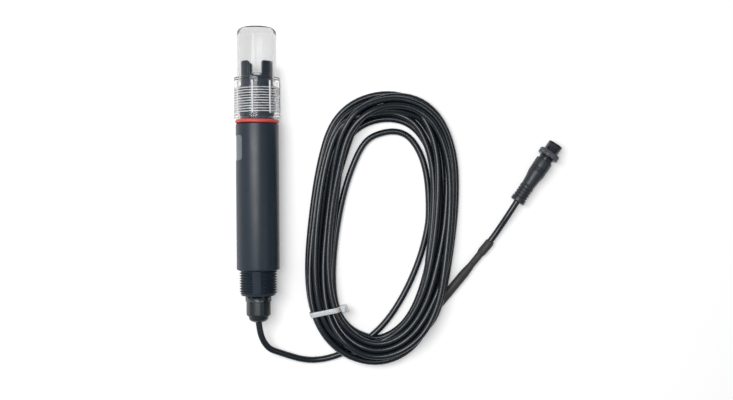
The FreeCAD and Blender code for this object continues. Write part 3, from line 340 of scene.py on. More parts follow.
class Shading:
    """The node tree of a finish or of the world, with the patterns that the finishes are made of."""

    def __init__(self, tree):
        self.nodes = tree.nodes
        self.links = tree.links
        self.shader = tree.nodes.get("Principled BSDF")

    def set(self, **values):
        for label, value in values.items():
            self.shader.inputs[label.replace("_", " ")].default_value = value

    def feed(self, label, source):
        self.links.new(source, self.shader.inputs[label])

    def surface(self, shader):
        self.links.new(shader, self.nodes["Material Output"].inputs["Surface"])

    def coordinates(self, kind):
        """Where the shaded point is on its piece, or which way it lies in the world: X, Y and Z."""
        where = self.nodes.new("ShaderNodeTexCoord")
        split = self.nodes.new("ShaderNodeSeparateXYZ")
        self.links.new(where.outputs[kind], split.inputs["Vector"])
        return split.outputs

    def noise(self, scale, detail=2):
        """A noise texture on the piece's own coordinates; scale counts per metre."""
        where = self.nodes.new("ShaderNodeTexCoord")
        texture = self.nodes.new("ShaderNodeTexNoise")
        texture.inputs["Scale"].default_value = scale
        texture.inputs["Detail"].default_value = detail
        self.links.new(where.outputs["Object"], texture.inputs["Vector"])
        return texture.outputs["Fac"]

    def spread(self, source, low, high, start=0.3, end=0.7):
        """Map a source's run from start to end to the run from low to high."""
        node = self.nodes.new("ShaderNodeMapRange")
        for label, value in zip(("From Min", "From Max", "To Min", "To Max"), (start, end, low, high)):
            node.inputs[label].default_value = value
        self.links.new(source, node.inputs["Value"])
        return node.outputs["Result"]

    def tone(self, factor, first, second):
        """A colour between two, by a factor."""
        mix = self.nodes.new("ShaderNodeMix")
        mix.data_type = "RGBA"
        mix.inputs[6].default_value = (*first, 1)
        mix.inputs[7].default_value = (*second, 1)
        self.links.new(factor, mix.inputs[0])
        return mix.outputs[2]

    def combine(self, operation, first, second):
        """The result of a math node whose two values are sockets or plain numbers."""
        node = self.nodes.new("ShaderNodeMath")
        node.operation = operation
        for socket, value in zip(node.inputs, (first, second)):
            if isinstance(value, float):
                socket.default_value = value
            else:
                self.links.new(value, socket)
        return node.outputs["Value"]

    def gloss(self, scale, detail, low, high):
        """Let the roughness wander between two values."""
        self.feed("Roughness", self.spread(self.noise(scale, detail), low, high))

    def bump(self, height, distance, strength):
        node = self.nodes.new("ShaderNodeBump")
        node.inputs["Distance"].default_value = distance
        node.inputs["Strength"].default_value = strength
        self.links.new(height, node.inputs["Height"])
        self.feed("Normal", node.outputs["Normal"])

    def let_lamps_through(self, *tint):
        """Let lamps shine through a clear piece on what is behind it, dimmed a little by its tint."""
        path = self.nodes.new("ShaderNodeLightPath")
        clear = self.nodes.new("ShaderNodeBsdfTransparent")
        clear.inputs["Color"].default_value = (*tint, 1)
        mix = self.nodes.new("ShaderNodeMixShader")
        self.links.new(path.outputs["Is Shadow Ray"], mix.inputs[0])
        self.links.new(self.shader.outputs["BSDF"], mix.inputs[1])
        self.links.new(clear.outputs["BSDF"], mix.inputs[2])
        self.surface(mix.outputs["Shader"])


def finish(fill):
    """Turn a function that fills a node tree into one that gives a named material, made only once."""

    def named(name, *details, **more):
        label = f"{name} finish"
        material = bpy.data.materials.get(label)
        if material is None:
            material = bpy.data.materials.new(label)
            material.use_nodes = True
            fill(Shading(material.node_tree), *details, **more)
        return material

    return named


@finish
def moulded(tree, colour, rough_low, rough_high, grain=2500, depth=0.00002, uneven=0.12):
    """Moulded plastic: slightly uneven colour and gloss, and a fine grain."""
    darker = [c * (1 - uneven) for c in colour]
    lighter = [c * (1 + uneven) for c in colour]
    tree.feed("Base Color", tree.tone(tree.noise(60), darker, lighter))
    tree.gloss(140, 4, rough_low, rough_high)
    tree.bump(tree.noise(grain, 3), depth, 0.6)


def body_plastic():
    """The body's dark satin moulding."""
    return moulded("body_plastic", looks().body_colour, 0.35, 0.43, grain=3500, depth=0.00001)


def label_plate():
    """The face of the bare recess: paler than the body and as satin."""
    return moulded("label_plate", (0.15, 0.175, 0.19), 0.35, 0.45, grain=3000, depth=0.00001)


def thread_strip():
    """The strip of the lower thread that is left plain: the body's colour, matt."""
    return moulded("thread_strip", looks().body_colour, 0.75, 0.85, grain=3500)


@finish
def jacket(tree):
    """The cable's smooth jacket, with faint waves along it."""
    colour = looks().cable_colour
    darker = [c * 0.8 for c in colour]
    lighter = [c * 1.25 for c in colour]
    tree.feed("Base Color", tree.tone(tree.noise(45), darker, lighter))
    tree.gloss(120, 3, 0.2, 0.3)
    tree.bump(tree.noise(200), 0.00002, 0.3)


def silicone():
    """Soft red rubber that light enters a little way."""
    material = moulded("red_silicone", looks().ring_colour, 0.38, 0.5, grain=900, depth=0.00004, uneven=0.1)
    tree = Shading(material.node_tree)
    tree.set(Subsurface_Weight=0.2, Subsurface_Scale=0.001, Subsurface_Radius=(1.0, 0.3, 0.2))
    return material


def nylon():
    """White nylon that light enters a little way."""
    material = moulded("white_nylon", (0.62, 0.64, 0.66), 0.3, 0.42, grain=1500, depth=0.00001, uneven=0.03)
    Shading(material.node_tree).set(Subsurface_Weight=0.3, Subsurface_Scale=0.001)
    return material


@finish
def clear_plastic(tree, crown_tint):
    """Clear moulded plastic: a bright skirt, and above it a crown whose tint dims what shows through."""
    tree.set(Transmission_Weight=1.0, IOR=1.49)
    top = SHOULDER_Y + SKIRT_TOP
    crown = tree.spread(tree.coordinates("Object")["Y"], 0.0, 1.0, (top - 0.2) * MM, (top + 0.2) * MM)
    tree.feed("Base Color", tree.tone(crown, (0.9,) * 3, (crown_tint,) * 3))
    tree.feed("Specular Tint", tree.tone(crown, (0.4,) * 3, (0.25,) * 3))
    tree.gloss(90, 3, 0.0, 0.03)
    tree.bump(tree.noise(260), 0.00001, 0.2)
    tree.let_lamps_through(0.9, 0.9, 0.9)


@finish
def thread_flank(tree):
    """The cap's ribs and the flanks of its thread, painted pale: a painted reflection that stands for the
    bright lines these clear faces throw back.
    """
    tree.set(Transmission_Weight=0.15, IOR=1.3, Base_Color=(0.78, 0.8, 0.82, 1))
    tree.gloss(400, 3, 0.35, 0.55)
    tree.let_lamps_through(0.8, 0.8, 0.8)


@finish
def blown_glass(tree):
    """Clear glass with the slow waves of blowing."""
    tree.set(Transmission_Weight=1.0, IOR=1.5, Roughness=0.0, Base_Color=(0.93, 0.97, 0.98, 1))
    tree.bump(tree.noise(180), 0.00002, 0.2)
    tree.let_lamps_through(0.95, 0.96, 0.96)


@finish
def metal(tree, colour, rough_low, rough_high):
    """Bare metal whose tone and gloss wander a little."""
    tree.set(Metallic=1.0)
    tree.feed("Base Color", tree.tone(tree.noise(300), [c * 0.9 for c in colour], colour))
    tree.gloss(700, 3, rough_low, rough_high)


# Sensor body

# Where the thread's flank meets the root, from the crest's middle, and how wide the flank is
ROOT_START = 0.72
FLANK_WIDTH = 0.64


def thread_phase(height, angles):
    """How many turns of the thread a point is past the first ridge; a whole number is a crest."""
    return (height - FIRST_RIDGE) / THREAD_PITCH - angles / (2 * pi)


def thread_tooth(phase):
    """The thread's profile, 1 at the crest and 0 at the root: straight flanks between two narrow flats."""
    off_crest = np.abs((phase + 0.5) % 1 - 0.5) * THREAD_PITCH
    return np.clip((ROOT_START - off_crest) / FLANK_WIDTH, 0, 1)


def smooth_step(value, low, high):
    """A share from 0 at low to 1 at high: three times its square less twice its cube."""
    share = np.clip((value - low) / (high - low), 0, 1)
    return share * share * (3 - 2 * share)


def angle_from(angles, centre):
    """The smallest turn between each angle and a centre, from 0 to pi."""
    return np.abs((angles - centre + pi) % (2 * pi) - pi)


LABEL_TOP = -7.8
LABEL_LENGTH = 17.9
LABEL_HALF_ANGLE = radians(51.0)
LABEL_CORNER = 3.0
LABEL_DEPTH = 0.3


def label_inside(radius, height, angles):
    """How deep a point is inside the label's outline, in millimetres: a rectangle with round corners."""
    along = np.abs(height - (LABEL_TOP - LABEL_LENGTH / 2)) - LABEL_LENGTH / 2 + LABEL_CORNER
    across = (angle_from(angles, pi) - LABEL_HALF_ANGLE) * BARREL_RADIUS + LABEL_CORNER
    outside = np.hypot(np.maximum(along, 0), np.maximum(across, 0))
    return LABEL_CORNER - outside - np.minimum(np.maximum(along, across), 0)


STRIP_HALF_ANGLE = radians(13.2)
STRIP_EDGE = radians(1.4)
STRIP_SHARE = 0.15


def housing_shape(radius, height, angles):
    """Cut both threads and the label recess into the turned housing.

    A thread keeps its tooth's share of what stands over the root, and the tooth's phase runs with height
    and angle. A strip of the lower thread that faces up stands only STRIP_SHARE of its height over the
    root, as moulded threads have it. The recess lies LABEL_DEPTH under the barrel.
    """
    lower = (height > THREAD_END) & (height < BARREL_END - 0.01)
    upper = (height > NECK_END) & (height < NOSE_END)
    strip = 1 - smooth_step(angle_from(angles, -pi / 2), STRIP_HALF_ANGLE, STRIP_HALF_ANGLE + STRIP_EDGE)
    tooth = thread_tooth(thread_phase(height, angles))
    tooth = np.where(lower, tooth * (1 - strip) + STRIP_SHARE * strip, tooth)
    cut = THREAD_ROOT + (radius - THREAD_ROOT) * tooth
    radius = np.where((radius > THREAD_ROOT) & (lower | upper), cut, radius)
    deep = smooth_step(label_inside(radius, height, angles), 0.0, 0.35)
    low, high = LABEL_TOP - LABEL_LENGTH - 1, LABEL_TOP + 1
    barrel = (radius > BARREL_RADIUS - 0.02) & (height > low) & (height < high)
    return np.where(barrel, radius - LABEL_DEPTH * deep, radius), height


def housing_profile():
    """The housing's closed outline, wall and bore, with close rows at the threads and the label's ends."""
    corners = [
        (10.5, THREAD_END, 0.2),
        (THREAD_ROOT, THREAD_END, 0.2),
        (THREAD_ROOT, THREAD_END + 0.7),
        (THREAD_CREST, THREAD_END + 1.7, 0.1),
        (THREAD_CREST, BARREL_END - 0.45, 0.1),
        (THREAD_ROOT, BARREL_END, 0.1),
        (BARREL_RADIUS - 1.9, BARREL_END, 0.2),
        (BARREL_RADIUS, BARREL_END + 0.8, 0.4),
        (BARREL_RADIUS, -0.4, 0.2),
        (BARREL_RADIUS - 0.4, 0.0, 0.2),
        (11.9, 0.0, 0.2),
        (11.9, NECK_END, 0.1),
        (UPPER_CREST, NECK_END + 0.7, 0.1),
        (UPPER_CREST, NOSE_END - 1.0, 0.1),
        (THREAD_ROOT, NOSE_END, 0.2),
        (10.5, NOSE_END, 0.1),
    ]
    profile = rounded_profile(corners, closed=True)
    profile = np.concatenate([profile, profile[:1]])
    step = THREAD_PITCH / 16
    profile = refine(profile, THREAD_END, BARREL_END, step)
    profile = refine(profile, NECK_END, NOSE_END, step)
    label_low, label_high = LABEL_TOP - LABEL_LENGTH, LABEL_TOP
    heights = np.concatenate([
        np.arange(label_low - 0.8, label_low + 3.4, 0.2),
        np.linspace(label_low + 3.6, label_high - 3.6, 6),
        np.arange(label_high - 3.4, label_high + 0.8, 0.2),
    ])
    barrel_rows = [(BARREL_RADIUS, h) for h in heights]
    after = int(np.argmax((profile[:, 1] > -1.0) & (profile[:, 0] > BARREL_RADIUS - 0.5)))
    return np.insert(profile[:-1], after, barrel_rows, axis=0)


def housing_angles():
    """Even columns, with closer ones at the label's two upright edges and at the thread's plain strip."""
    across = LABEL_HALF_ANGLE + np.arange(-3.4, 0.5, 0.2) / BARREL_RADIUS
    strip = STRIP_HALF_ANGLE + STRIP_EDGE * np.linspace(-0.15, 1.15, 7)
    columns = [even_angles(looks().columns), pi - across, pi + across, 1.5 * pi - strip, 1.5 * pi + strip]
    return np.unique(np.round(np.concatenate(columns), 6))


def face_centres(mesh):
    """Each face's middle in millimetres."""
    centres = np.zeros(len(mesh.polygons) * 3)
    mesh.polygons.foreach_get("center", centres)
    return centres.reshape(-1, 3) / MM


def face_places(mesh):
    """The angle, height and radius of each face's middle on the sensor, in radians and millimetres."""
    x, y, z = face_centres(mesh).T
    return np.arctan2(AXIS_HEIGHT - z, x), y - SHOULDER_Y, np.hypot(x, AXIS_HEIGHT - z)


class SENSOR_OT_housing(bpy.types.Operator):
    """Build the moulded housing with its threads and its bare label recess"""

    bl_idname = "sensor.housing"
    bl_label = "Housing"

    def execute(self, context):
        piece = turned("housing_look", housing_profile(), on_sensor, housing_angles(), housing_shape)
        mesh = piece.data
        around, height, reach = face_places(mesh)
        inside = (label_inside(reach, height, around) > 0.3) & (reach > 13.5)
        strip = (angle_from(around, -pi / 2) < STRIP_HALF_ANGLE) & (height < BARREL_END - 0.3) & (reach > 11)
        dress(piece, "sensor", "housing_plastic", body_plastic(), label_plate(), thread_strip())
        mesh.polygons.foreach_set("material_index", inside + 2 * strip)
        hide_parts("housing")
        return {"FINISHED"}


class SENSOR_OT_guard(bpy.types.Operator):
    """Finish the slotted electrode guard and the pieces that stand inside it"""

    bl_idname = "sensor.guard"
    bl_label = "Electrode guard"

    def execute(self, context):
        glass = blown_glass("blown_glass")
        dress(smooth_copy("guard_look", "electrode_guard"), "sensor", "housing_plastic", body_plastic())
        dress(smooth_copy("glass_look", "glass_electrode"), "sensor", "measuring_glass", glass)
        rubber = moulded("black_rubber", (0.02, 0.02, 0.021), 0.6, 0.75, grain=1800)
        silver = metal("silver_wire", (0.8, 0.8, 0.77), 0.2, 0.35)
        steel = metal("probe_steel", (0.55, 0.56, 0.58), 0.25, 0.35)
        frit = moulded("porous_junction", (0.75, 0.74, 0.7), 0.7, 0.85, grain=5000, depth=0.00006)
        laminate = moulded("board_laminate", (0.02, 0.16, 0.07), 0.35, 0.45)
        chip = moulded("chip_black", (0.02, 0.02, 0.022), 0.45, 0.55)
        for coat, nodes in [
            (rubber, ["stem_seal", "stem_stopper", "chamber_bung"]),
            (rubber, ["end_plug_seal", "gland_seal_ring", "gland_grommet"]),
            (silver, ["silver_wire", "reference_wire"]),
            (steel, ["temperature_probe"]),
            (frit, ["reference_junction"]),
            (laminate, ["preamp_board"]),
            (chip, ["board_chips"]),
            (body_plastic(), ["end_plug"]),
            (jacket("cable_jacket"), ["inner_cable"]),
        ]:
            for node in nodes:
                paint(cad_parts[node], coat)
        return {"FINISHED"}


# The seal ring's section, an ellipse: its middle and its half axes, outwards and along the sensor
RING_MIDDLE = (13.75, 1.62)
RING_HALF = (1.72, 1.32)


def ring_wave(radius, height, angles):
    """Let the soft ring rise and fall by a quarter of a millimetre, as two sines of the angle."""
    return radius, height + 0.18 * np.sin(2 * angles + 0.6) + 0.08 * np.sin(5 * angles)


class SENSOR_OT_ring(bpy.types.Operator):
    """Build the soft red seal ring"""

    bl_idname = "sensor.ring"
    bl_label = "Seal ring"

    def execute(self, context):
        turn = even_angles(28)
        section = np.stack([np.cos(turn), np.sin(turn)], axis=-1) * RING_HALF + RING_MIDDLE
        piece = turned("ring_look", section, on_sensor, shape=ring_wave, sharp=80)
        dress(piece, "sensor", "red_silicone", silicone())
        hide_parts("red_seal_ring")
        return {"FINISHED"}


# Clear cap

RIB_ANGLES = [radians(-50 - 90 + 45 * i) for i in range(8)]
RIB_CENTRE = 15.65
RIB_RADIUS = 0.9
RIB_LOW = CAP_MOUTH + 2.6
RIB_HIGH = SKIRT_TOP - 3.0
SKIRT_RADIUS = 16.1
SKIRT_BORE = 13.4
CAP_THREAD = 0.3
CROWN_RADIUS = 13.9
CROWN_ROUND = 4.6


def cap_shape(radius, height, angles):
    """Raise the eight ribs on the skirt and the thread in its bore.

    A rib is a bar of radius RIB_RADIUS that lies along the skirt: its surface is at c cos(a) plus the root
    of r squared minus (c sin(a)) squared, and it ends in a quarter ball. The thread is a wave whose ridges
    stand in the grooves of the housing's thread.
    """
    off = np.min([angle_from(angles, a) for a in RIB_ANGLES], axis=0)
    past = np.maximum(np.maximum(RIB_LOW + RIB_RADIUS - height, height - RIB_HIGH + RIB_RADIUS), 0)
    bar = np.maximum(RIB_RADIUS**2 - past**2, 0) - (RIB_CENTRE * np.sin(off)) ** 2
    top = RIB_CENTRE * np.cos(off) + np.sqrt(np.maximum(bar, 0))
    outside = np.abs(radius - SKIRT_RADIUS) < 0.02
    rib = outside & (bar > 0) & (off < pi / 4)
    radius = np.where(rib, np.maximum(radius, top), radius)
    ridge = CAP_THREAD * (1 - np.cos(2 * pi * thread_phase(height, angles))) / 2
    entry = smooth_step(height, NECK_END - 0.4, NECK_END + 0.6)
    leave = smooth_step(height, NOSE_END - 1.6, NOSE_END - 0.6)
    bore = np.abs(radius - SKIRT_BORE) < 0.02
    return np.where(bore, radius - ridge * entry * (1 - leave), radius), height


def cap_profile():
    """The cap's outline from the crown's pole down the outside, round the mouth and up inside to a pole."""
    ledge = SKIRT_TOP - 2.2
    corners = [
        (0, CAP_TOP + 0.6),
        (5.0, CAP_TOP + 0.6, 8.0),
        (CROWN_RADIUS, CAP_TOP, CROWN_ROUND),
        (CROWN_RADIUS, SKIRT_TOP + 0.3, 0.3),
        (SKIRT_RADIUS, SKIRT_TOP, 0.7),
        (SKIRT_RADIUS, CAP_MOUTH + 2.3, 0.2),
        (16.5, CAP_MOUTH + 1.8, 0.2),
        (16.5, CAP_MOUTH + 0.5, 0.2),
        (16.0, CAP_MOUTH, 0.2),
        (SKIRT_BORE + 0.5, CAP_MOUTH, 0.2),
        (SKIRT_BORE, CAP_MOUTH + 0.6, 0.2),
        (SKIRT_BORE, ledge, 0.4),
        (12.4, ledge + 0.6, 0.3),
        (12.4, CAP_TOP - 1.5, 4.0),
        (0, CAP_TOP - 1.2),
    ]
    profile = rounded_profile(corners, steps=6)
    return refine(profile, CAP_MOUTH + 0.5, SKIRT_TOP, 0.16)


def cap_angles():
    """Even columns, with closer ones across each rib."""
    across = np.radians(np.linspace(-3.4, 3.4, 13))
    ribs = np.concatenate([a % (2 * pi) + across for a in RIB_ANGLES])
    return np.unique(np.round(np.concatenate([even_angles(96), ribs]) % (2 * pi), 5))


class SENSOR_OT_cap(bpy.types.Operator):
    """Build the clear fluted cap"""

    bl_idname = "sensor.cap"
    bl_label = "Clear cap"

    def execute(self, context):
        piece = turned("cap_look", cap_profile(), on_sensor, cap_angles(), cap_shape, closed=False, sharp=40)
        outside = clear_plastic("clear_plastic", 0.63)
        # Painted reflection: a pale coat for the ribs and for a band of each thread flank
        pale = thread_flank("thread_flank")
        dress(piece, "cap", "clear_plastic", outside, pale, clear_plastic("clear_bore", 0.98))
        around, height, reach = face_places(piece.data)
        # The flank band of the bore thread and the ribs carry the painted reflection
        phase = thread_phase(height, around) % 1
        flank = (phase > 0.52) & (phase < 0.86)
        bore = (reach < SKIRT_BORE + 0.05) & (height > NECK_END) & (height < NOSE_END - 0.5)
        rib = (reach > SKIRT_RADIUS + 0.12) & (height > CAP_MOUTH + 2.9) & (height < SKIRT_TOP - 2.9)
        aside = np.maximum(reach - CROWN_RADIUS + CROWN_ROUND, 0)
        above = np.maximum(height - CAP_TOP + CROWN_ROUND, 0)
        inside = (height > SKIRT_TOP) & (np.hypot(aside, above) < CROWN_ROUND - 0.7)
        piece.data.polygons.foreach_set("material_index", ((flank & bore) | rib) + 2 * inside)
        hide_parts("clear_cap")
        return {"FINISHED"}


# Gland

NUT_RADIUS = 8.5
DOME_RADIUS = 7.1
DOME_RISE = 4.4
NUT_MOUTH = 3.0
DIMPLE_RADIUS = 0.75
DIMPLE_DEPTH = 0.4
DIMPLE_PLACE = (5.3, NUT_END + 2.3)


def nut_profile():
    """The nut's closed outline: a dome on a round grip, with the seat inside."""
    shoulder = NUT_END + DOME_RISE
    corners = [
        (NUT_MOUTH, NUT_END + 0.2, 0.2),
        (NUT_MOUTH + 0.8, NUT_END, 0.5),
        (DOME_RADIUS - 0.6, NUT_END + 1.3, 2.4),
        (DOME_RADIUS, shoulder, 0.3),
        (NUT_RADIUS - 0.5, shoulder, 0.2),
        (NUT_RADIUS, shoulder + 0.9, 0.4),
        (NUT_RADIUS, HEX_END - 0.3, 0.2),
        (NUT_RADIUS - 0.3, HEX_END, 0.1),
        (5.2, HEX_END, 0.2),
        (5.2, shoulder, 0.4),
        (NUT_MOUTH, shoulder - 1.0, 0.2),
    ]
    return refine(rounded_profile(corners, closed=True, steps=6), NUT_END, HEX_END, 0.25)


def nut_shape(radius, height, angles):
    """Give the nut's grip six soft flats, and its dome a ring of eight round dimples.

    A flat takes a fiftieth of the radius, times one minus the cosine of six times the angle. A dimple is
    DIMPLE_DEPTH deep, times one minus the square of the distance from its middle over its radius.
    """
    grip = smooth_step(height, NUT_END + DOME_RISE, NUT_END + DOME_RISE + 1.0) * (radius > 7.3)
    flats = 0.02 * (1 - np.cos(6 * angles)) * grip
    turn = (angles + pi / 2 + pi / 8) % (pi / 4) - pi / 8
    away = np.hypot(radius * turn, np.hypot(radius - DIMPLE_PLACE[0], height - DIMPLE_PLACE[1]))
    dent = DIMPLE_DEPTH * np.clip(1 - (away / DIMPLE_RADIUS) ** 2, 0, 1)
    return radius * (1 - flats) - dent, height


class SENSOR_OT_gland(bpy.types.Operator):
    """Finish the cable gland"""

    bl_idname = "sensor.gland"
    bl_label = "Cable gland"

    def execute(self, context):
        gloss = moulded("gland_plastic", (0.01, 0.017, 0.022), 0.26, 0.34, grain=1800)
        dress(smooth_copy("gland_body_look", "gland_body"), "sensor", "gland_plastic", gloss)
        piece = turned("gland_nut_look", nut_profile(), on_sensor, shape=nut_shape)
        dress(piece, "sensor", "gland_plastic", gloss)
        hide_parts("gland_nut")
        return {"FINISHED"}


# Cable

# Where each pass of the cable lies on the right side, at the top, on the left side, in the tie and at the
# bottom: (layer, millimetres outwards from the coil's middle line). Counted from 0, passes 1 to 5 and 10
# lie on the outer side on the left, and most of them lie low at the top and at the bottom.
RIGHT_SLOTS = [
    (0, -9), (0, -4.5), (1, -6.8), (1, -2.3), (2, -4.5), (0, 0),
    (0, 4.5), (0, 8.2), (1, 6.6), (2, 4.3), (1, 2.3),
]
TOP_SLOTS = [
    (0, -19.5), (0, -9.5), (0, -5), (0, -0.4), (0, 4.2), (1, -2.6),
    (1, 2), (1, 6.6), (2, 4.3), (2, -0.3), (0, 9.2),
]
LEFT_SLOTS = [
    (0, -8.5), (0, 0), (0, 4.5), (1, 2.3), (1, 6.8), (2, 4.5),
    (0, -4.5), (1, -6.8), (1, -2.3), (2, -4.5), (0, 8.5),
]
TIE_SLOTS = [
    (0, -7), (0, 2.4), (0, 7), (1, 0), (2, 6.6), (2, 2.3),
    (0, -2.4), (1, -4.6), (2, -2.3), (2, -6.6), (1, 4.6),
]
BOTTOM_SLOTS = [
    (0, -7.7), (0, -3.2), (0, 1.3), (1, -5.5), (1, 7.6), (1, -1),
    (1, 3.4), (2, 1.2), (2, 5.6), (2, -3.2), (0, 6.6),
]
# The share of a turn, from the right side, at which each list counts
SLOT_SHARES = [
    (0.0, RIGHT_SLOTS),
    (0.14, RIGHT_SLOTS),
    (0.25, TOP_SLOTS),
    (0.38, LEFT_SLOTS),
    (0.58, LEFT_SLOTS),
    (0.62, TIE_SLOTS),
    (0.66, TIE_SLOTS),
    (0.75, BOTTOM_SLOTS),
]
# The first pass stands clear of the others at the top: (share, millimetres outwards)
FIRST_PASS = [
    (0.0, -9), (0.05, -8.6), (0.1, -11.5), (0.15, -15), (0.2, -18.4), (0.25, -19.2), (0.3, -20),
    (0.325, -19), (0.35, -16.5), (0.4, -11.3), (0.5, -8.5),
]
# The last pass draws out to the sleeve's cut end
LAST_PASS = [(0.68, 7.2), (0.71, 8.2), (0.75, 10.6)]
JOIN_POINT = (128.6, -37.0)
LAST_SHARE = 0.745
SEPARATION = 1.01 * 2 * CABLE_RADIUS
# The tie's strap lifts the coil a little where it passes under it
TIE_SHARE = 0.634
STRAP_LIFT = 1.25
# How firmly each settling step draws a pass to its slot, outwards and up, and how far it lets it sink
HOLD = np.array([0.14, 0.05])
SINK = 0.02
# How much it straightens, and how much it does so in the last steps
STIFFNESS = 0.3
LAST_STIFFNESS = 0.1
# How many steps it settles for, and how many of them at the end only part and straighten the passes
SETTLE_STEPS = 500
LAST_STEPS = 60


def coil_stations(count):
    """Places along the coil's middle line, with the outward direction at each.

    The line is the closed quadratic B-spline of the coil's points, half of (1-t) squared of one point, a
    half plus t minus t squared of the next and half of t squared of the third, cut into equal lengths.
    """
    t = np.linspace(0, 1, 60, endpoint=False)[:, None, None]
    first = np.array(COIL_POINTS)[None]
    second, third = np.roll(first, -1, axis=1), np.roll(first, -2, axis=1)
    line = (1 - t) ** 2 / 2 * first + (0.5 + t - t * t) * second + t * t / 2 * third
    line = line.transpose(1, 0, 2).reshape(-1, 2)
    line = np.concatenate([line, line[:1]])
    run = np.concatenate([[0], np.cumsum(np.linalg.norm(np.diff(line, axis=0), axis=1))])
    start = run[np.argmin(np.linalg.norm(line[:-1] - JOIN_POINT, axis=1))]
    want = (start + np.arange(count) / count * run[-1]) % run[-1]
    centre = np.stack([np.interp(want, run, line[:, i]) for i in range(2)], axis=-1)
    tangent = np.roll(centre, -1, axis=0) - np.roll(centre, 1, axis=0)
    tangent /= np.linalg.norm(tangent, axis=1)[:, None]
    return centre, np.stack([tangent[:, 1], -tangent[:, 0]], axis=-1)


def crossings(route, centre, out):
    """How far outwards each station's cross line meets a route on the table, or far away where it doesn't."""
    route = np.array(route)[:, :2]
    knots = np.arange(len(route))
    fine = np.linspace(0, len(route) - 1, 600)
    line = np.stack([np.interp(fine, knots, route[:, i]) for i in range(2)], axis=-1)
    apart = line[None] - centre[:, None]
    across = (apart * out[:, None]).sum(axis=-1)
    along = np.abs(apart[..., 0] * out[:, None, 1] - apart[..., 1] * out[:, None, 0])
    near = np.where(np.abs(across) < 25, along, 99.0)
    nearest = near.argmin(axis=1)
    rows = np.arange(len(centre))
    return np.where(near[rows, nearest] < 1.5, across[rows, nearest], 99.0)


def settle(target, turns, count, last, floor, beneath):
    """Let the passes settle side by side, on each other and on what they cross.

    Each step straightens the cable a little along its length, draws it to its target, lets it sink, and
    moves any two passes at the same station apart until their middles are a diameter apart. beneath lists
    what lies under the coil: how far outwards at each station, its height and its radius.
    """
    place = target.copy()
    alive = (np.arange(turns * count) <= last).reshape(turns, count)
    for step in range(SETTLE_STEPS):
        late = step > SETTLE_STEPS - LAST_STEPS
        middle = (place[:-2] + place[2:]) / 2
        place[1:-1] += (LAST_STIFFNESS if late else STIFFNESS) * (middle - place[1:-1])
        if not late:
            place += HOLD * (target - place)
            place[:, 1] -= SINK
        section = place.reshape(turns, count, 2)
        for _ in range(4 if late else 2):
            apart = section[:, None] - section[None]
            distance = np.sqrt((apart**2).sum(-1))
            close = (distance < SEPARATION) & alive[:, None] & alive[None]
            short = np.where(close, SEPARATION - distance, 0.0)
            short[np.arange(turns), np.arange(turns)] = 0
            push = apart / np.maximum(distance, 1e-6)[..., None] * short[..., None]
            section += 0.4 * push.sum(axis=1)
            for across, height, radius in beneath:
                off = section - np.stack([across, np.full(count, height)], axis=-1)[None]
                off[..., 1] = np.maximum(off[..., 1], 0.3)
                gap = np.sqrt((off**2).sum(-1))
                lift = np.maximum(radius + CABLE_RADIUS - gap, 0) / gap
                section += 0.5 * off * (lift * alive)[..., None]
            section[..., 1] = np.maximum(section[..., 1], floor)
    return place


def sleeve_axis(share):
    """A point on the sleeve's axis in millimetres, by its share of the length."""
    ahead = np.array([cos(SLEEVE_HEADING), sin(SLEEVE_HEADING)])
    return (*(np.array(SLEEVE_START) + ahead * SLEEVE_LENGTH * share), SLEEVE_RADIUS)


@lru_cache(maxsize=1)
def settled_coil(turns, count):
    """The coil's middle line, its outward directions, each pass's place there, and the last station."""
    centre, out = coil_stations(count)
    last = int((turns - 1 + LAST_SHARE) * count)
    knots = []
    for turn in range(turns):
        for share, slots in SLOT_SHARES:
            layer, across = slots[turn % len(slots)]
            if turn > 0 or share > 0.5:
                knots.append((turn + share, across, layer))
    first = [(share, across, 0) for share, across in FIRST_PASS]
    final = [(turns - 1 + share, across, 0) for share, across in LAST_PASS]
    knots = np.array(first + [k for k in knots if k[0] < final[0][0]] + final)
    chain = np.arange(turns * count) / count
    across, layer = (np.interp(chain, knots[:, 0], knots[:, i]) for i in (1, 2))
    target = np.stack([across, CABLE_RADIUS + 0.87 * SEPARATION * layer], axis=-1)
    share = np.arange(count) / count
    floor = CABLE_RADIUS + STRAP_LIFT * (1 - smooth_step(np.abs(share - TIE_SHARE), 0.02, 0.09))
    beneath = [
        (crossings(LEAD_POINTS[:12], centre, out), CABLE_RADIUS, CABLE_RADIUS),
        (crossings([sleeve_axis(0), sleeve_axis(1)], centre, out), SLEEVE_RADIUS, SLEEVE_RADIUS),
    ]
    section = settle(target, turns, count, last, floor, beneath).reshape(turns, count, 2)
    return centre, out, section, last


def coil_path(turns, count):
    """The wound part of the cable, in millimetres, from where the lead joins it to the sleeve."""
    centre, out, section, last = settled_coil(turns, count)
    flat = centre[None] + out[None] * section[..., :1]
    return np.concatenate([flat, section[..., 1:]], axis=-1).reshape(-1, 3)[: last + 1]


